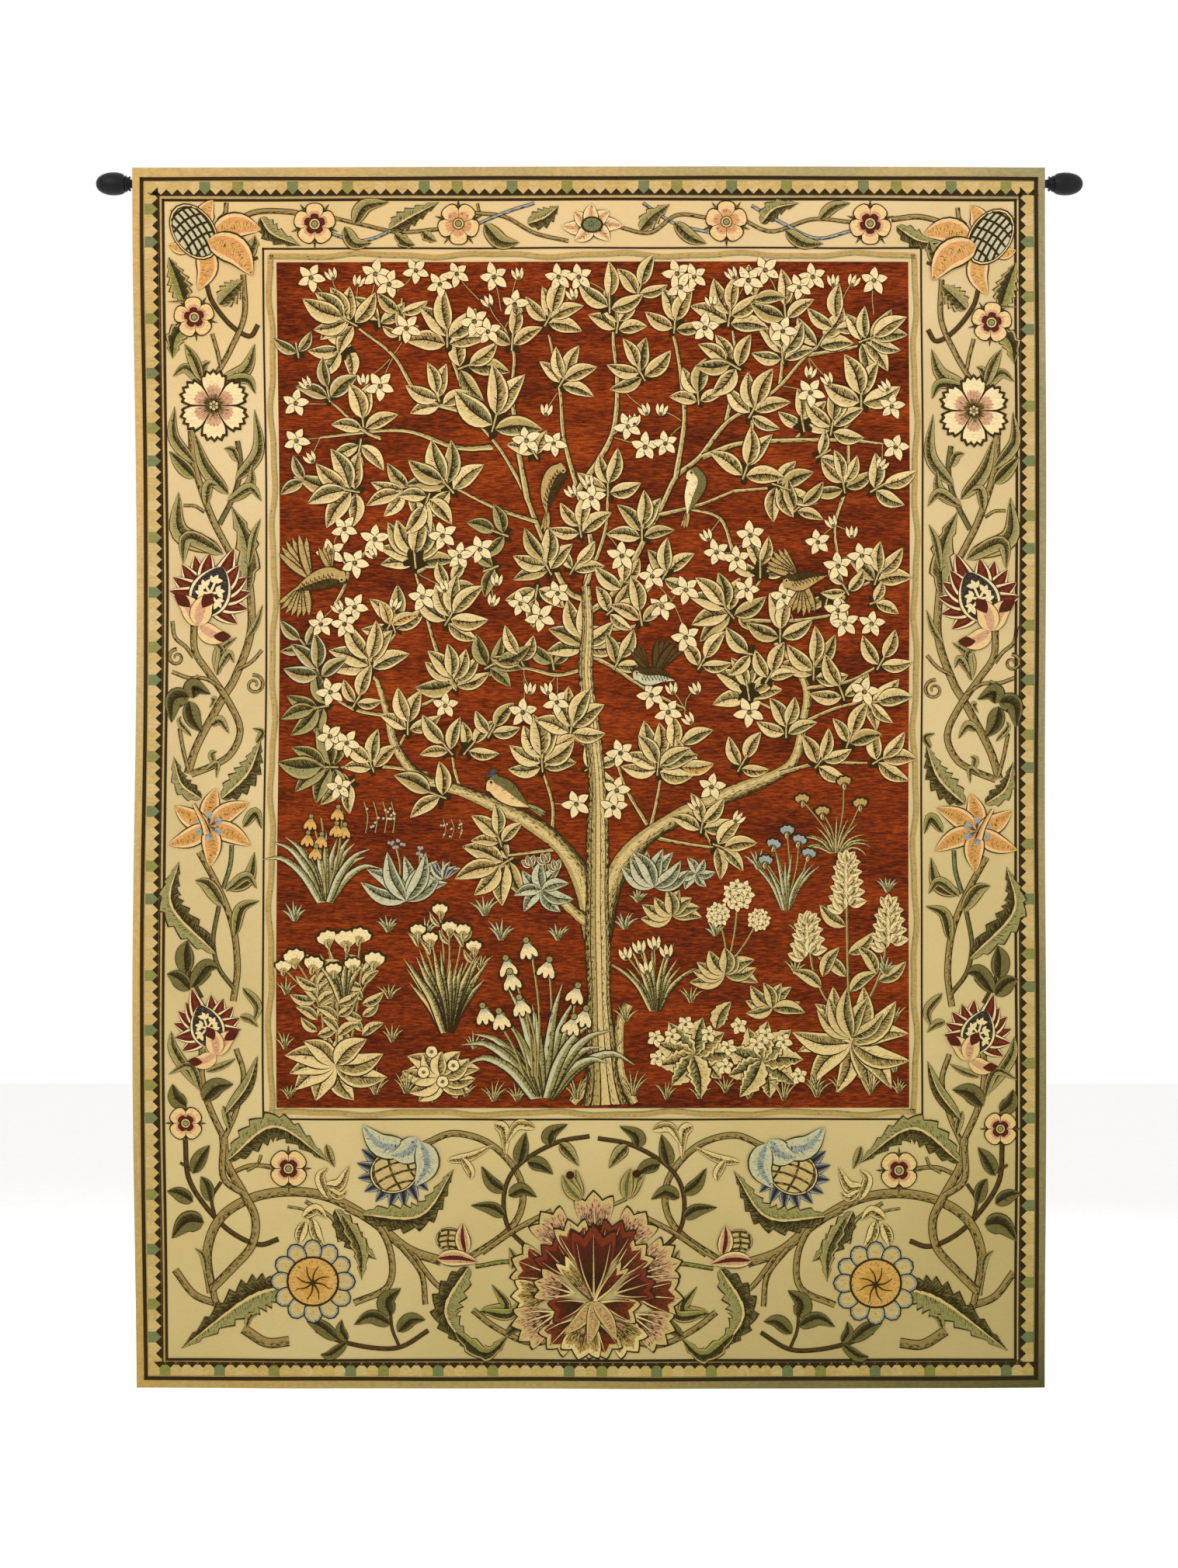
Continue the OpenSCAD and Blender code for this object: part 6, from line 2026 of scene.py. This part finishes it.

# %% [markdown]
# ## What is cloth
# Four pieces are cut from cloth: the woven face with everything woven in it, the lining, the
# sleeve and the label.

# %% [markdown]
# ## Rod, brackets and finials
# The hard parts keep their exact CAD shapes and only get finishes. The rod and brackets have a
# black powder coat, whose skin is finely dimpled like orange peel. The finials are turned and
# lacquered black, with a satin gloss and very faint turning lines. The inserts and studs inside
# are zinc-plated steel; the studs show their thread, one ridge to each millimetre.

# %% Hard finishes
def powder_coat():
    """Black powder coat, baked on steel: a satin black skin, finely dimpled."""
    material, tree, shader = new_material("steel_black_powder_coat")
    place = add(tree, "ShaderNodeTexCoord").outputs["Object"]
    peel = add(tree, "ShaderNodeTexNoise", Vector=place, Scale=900.0, Detail=2.0)
    wear_and_painted_shade = add(tree, "ShaderNodeTexNoise", Vector=place, Scale=22.0, Detail=4.0)
    rough = add(tree, "ShaderNodeMapRange", Value=wear_and_painted_shade.outputs["Fac"], i1=0.3, i2=0.7,
                i3=0.38, i4=0.52)
    bump = add(tree, "ShaderNodeBump", Height=peel.outputs["Fac"], Strength=0.25,
               Distance=0.0002)
    tree.links.new(ramp(tree, wear_and_painted_shade.outputs["Fac"], [(0.3, "#101013"), (0.7, "#18181B")]),
                   shader.inputs["Base Color"])
    tree.links.new(rough.outputs[0], shader.inputs["Roughness"])
    tree.links.new(bump.outputs[0], shader.inputs["Normal"])
    shader.inputs["IOR"].default_value = 1.5
    shader.inputs["Specular IOR Level"].default_value = 0.3
    return material


def zinc_steel():
    """Zinc-plated steel: a bright, slightly cloudy grey metal with a fine thread."""
    material, tree, shader = new_material("steel_zinc_plated")
    place = add(tree, "ShaderNodeTexCoord").outputs["Object"]
    ridges = add(tree, "ShaderNodeTexWave", {"bands_direction": "X", "wave_profile": "TRI"},
                 Vector=place, Scale=math.pi / 10 / 0.001)
    cloud = add(tree, "ShaderNodeTexNoise", Vector=place, Scale=160.0, Detail=3.0)
    bump = add(tree, "ShaderNodeBump", Height=ridges.outputs["Fac"], Strength=0.8,
               Distance=0.0004)
    tree.links.new(ramp(tree, cloud.outputs["Fac"], [(0.3, "#A8ACAF"), (0.7, "#C8CBCC")]),
                   shader.inputs["Base Color"])
    tree.links.new(bump.outputs[0], shader.inputs["Normal"])
    shader.inputs["Metallic"].default_value = 1.0
    shader.inputs["Roughness"].default_value = 0.32
    return material


def black_lacquer():
    """Turned beech under black lacquer: deep black, satin, with faint turning lines."""
    material, tree, shader = new_material("wood_black_lacquer")
    place = add(tree, "ShaderNodeTexCoord").outputs["Object"]
    lines = streaks(tree, place, (700.0, 30.0, 30.0), Detail=2.0)
    haze = add(tree, "ShaderNodeTexNoise", Vector=place, Scale=55.0, Detail=3.0)
    bump = add(tree, "ShaderNodeBump", Height=lines, Strength=0.12,
               Distance=0.0002)
    tree.links.new(ramp(tree, haze.outputs["Fac"], [(0.3, "#08070A"), (0.7, "#0F0E13")]),
                   shader.inputs["Base Color"])
    tree.links.new(bump.outputs[0], shader.inputs["Normal"])
    shader.inputs["Roughness"].default_value = 0.42
    shader.inputs["IOR"].default_value = 1.52
    shader.inputs["Specular IOR Level"].default_value = 0.22
    return material


COAT, ZINC, LACQUER = powder_coat(), zinc_steel(), black_lacquer()
FINISHES = {COAT: ("rod_tube", "bracket_left", "bracket_right"),
            ZINC: ("rod_insert_left", "rod_insert_right", "finial_stud_left",
                   "finial_stud_right"),
            LACQUER: ("finial_left", "finial_right")}
for finish, names in FINISHES.items():
    for name in names:
        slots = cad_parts[name].data.materials
        slots.clear()
        slots.append(finish)
        print(name, "is", finish.name)

# %% [markdown]
# ## Floor and light
# The object hangs in the air before nothing, over a plain pale floor that is only there to
# catch a soft shadow. One broad lamp stands to the left and above, as daylight from a window
# would, a weaker one fills from the right, and one behind lights the lining. The world gives
# an even white.

# %% Floor, lamps and world
FLOOR_Z = BOTTOM - 0.35
floor_material, tree, shader = new_material("floor_pale_plaster")
speckle = add(tree, "ShaderNodeTexNoise", Scale=60.0, Detail=4.0,
              Vector=add(tree, "ShaderNodeTexCoord").outputs["Object"])
tree.links.new(ramp(tree, speckle.outputs["Fac"], [(0.3, "#F6F5F3"), (0.7, "#FAF9F8")]),
               shader.inputs["Base Color"])
shader.inputs["Roughness"].default_value = 0.8
gx, gy = np.meshgrid(np.linspace(-9, 9, 25), np.linspace(-9, 9, 25))
floor = mesh_object("studio_floor", np.stack([gx, gy, 0 * gx + FLOOR_Z], axis=-1),
                    grid_faces(25, 25), floor_material)


def lamp(name, place, aim, size, watts, colour):
    """A square area lamp at place, turned to face aim."""
    light = bpy.data.lights.new(name, "AREA")
    light.size = size
    light.energy = watts
    light.color = linear(colour)
    item = bpy.data.objects.new(name, light)
    item.location = place
    bpy.context.collection.objects.link(item)
    way = np.array(aim, float) - place
    item.rotation_euler = (math.atan2(math.hypot(way[0], way[1]), -way[2]), 0,
                           math.atan2(-way[0], way[1]))
    return item


lamp("key_lamp", (-2.2, -3.4, 1.6), (0.0, 0.0, -0.8), 2.2, 42, "#FFF9F0")
lamp("fill_lamp", (2.6, -3.0, 0.2), (0.0, 0.0, -0.9), 2.6, 9, "#F6F7FF")
lamp("back_lamp", (0.6, 3.2, 1.2), (0.0, 0.0, -0.8), 2.4, 70, "#FFFFFF")
world = bpy.data.worlds.new("even_studio")
world.use_nodes = True
world.node_tree.nodes["Background"].inputs["Color"].default_value = (*linear("#FFFFFF"), 1)
world.node_tree.nodes["Background"].inputs["Strength"].default_value = 1.0
bpy.context.scene.world = world
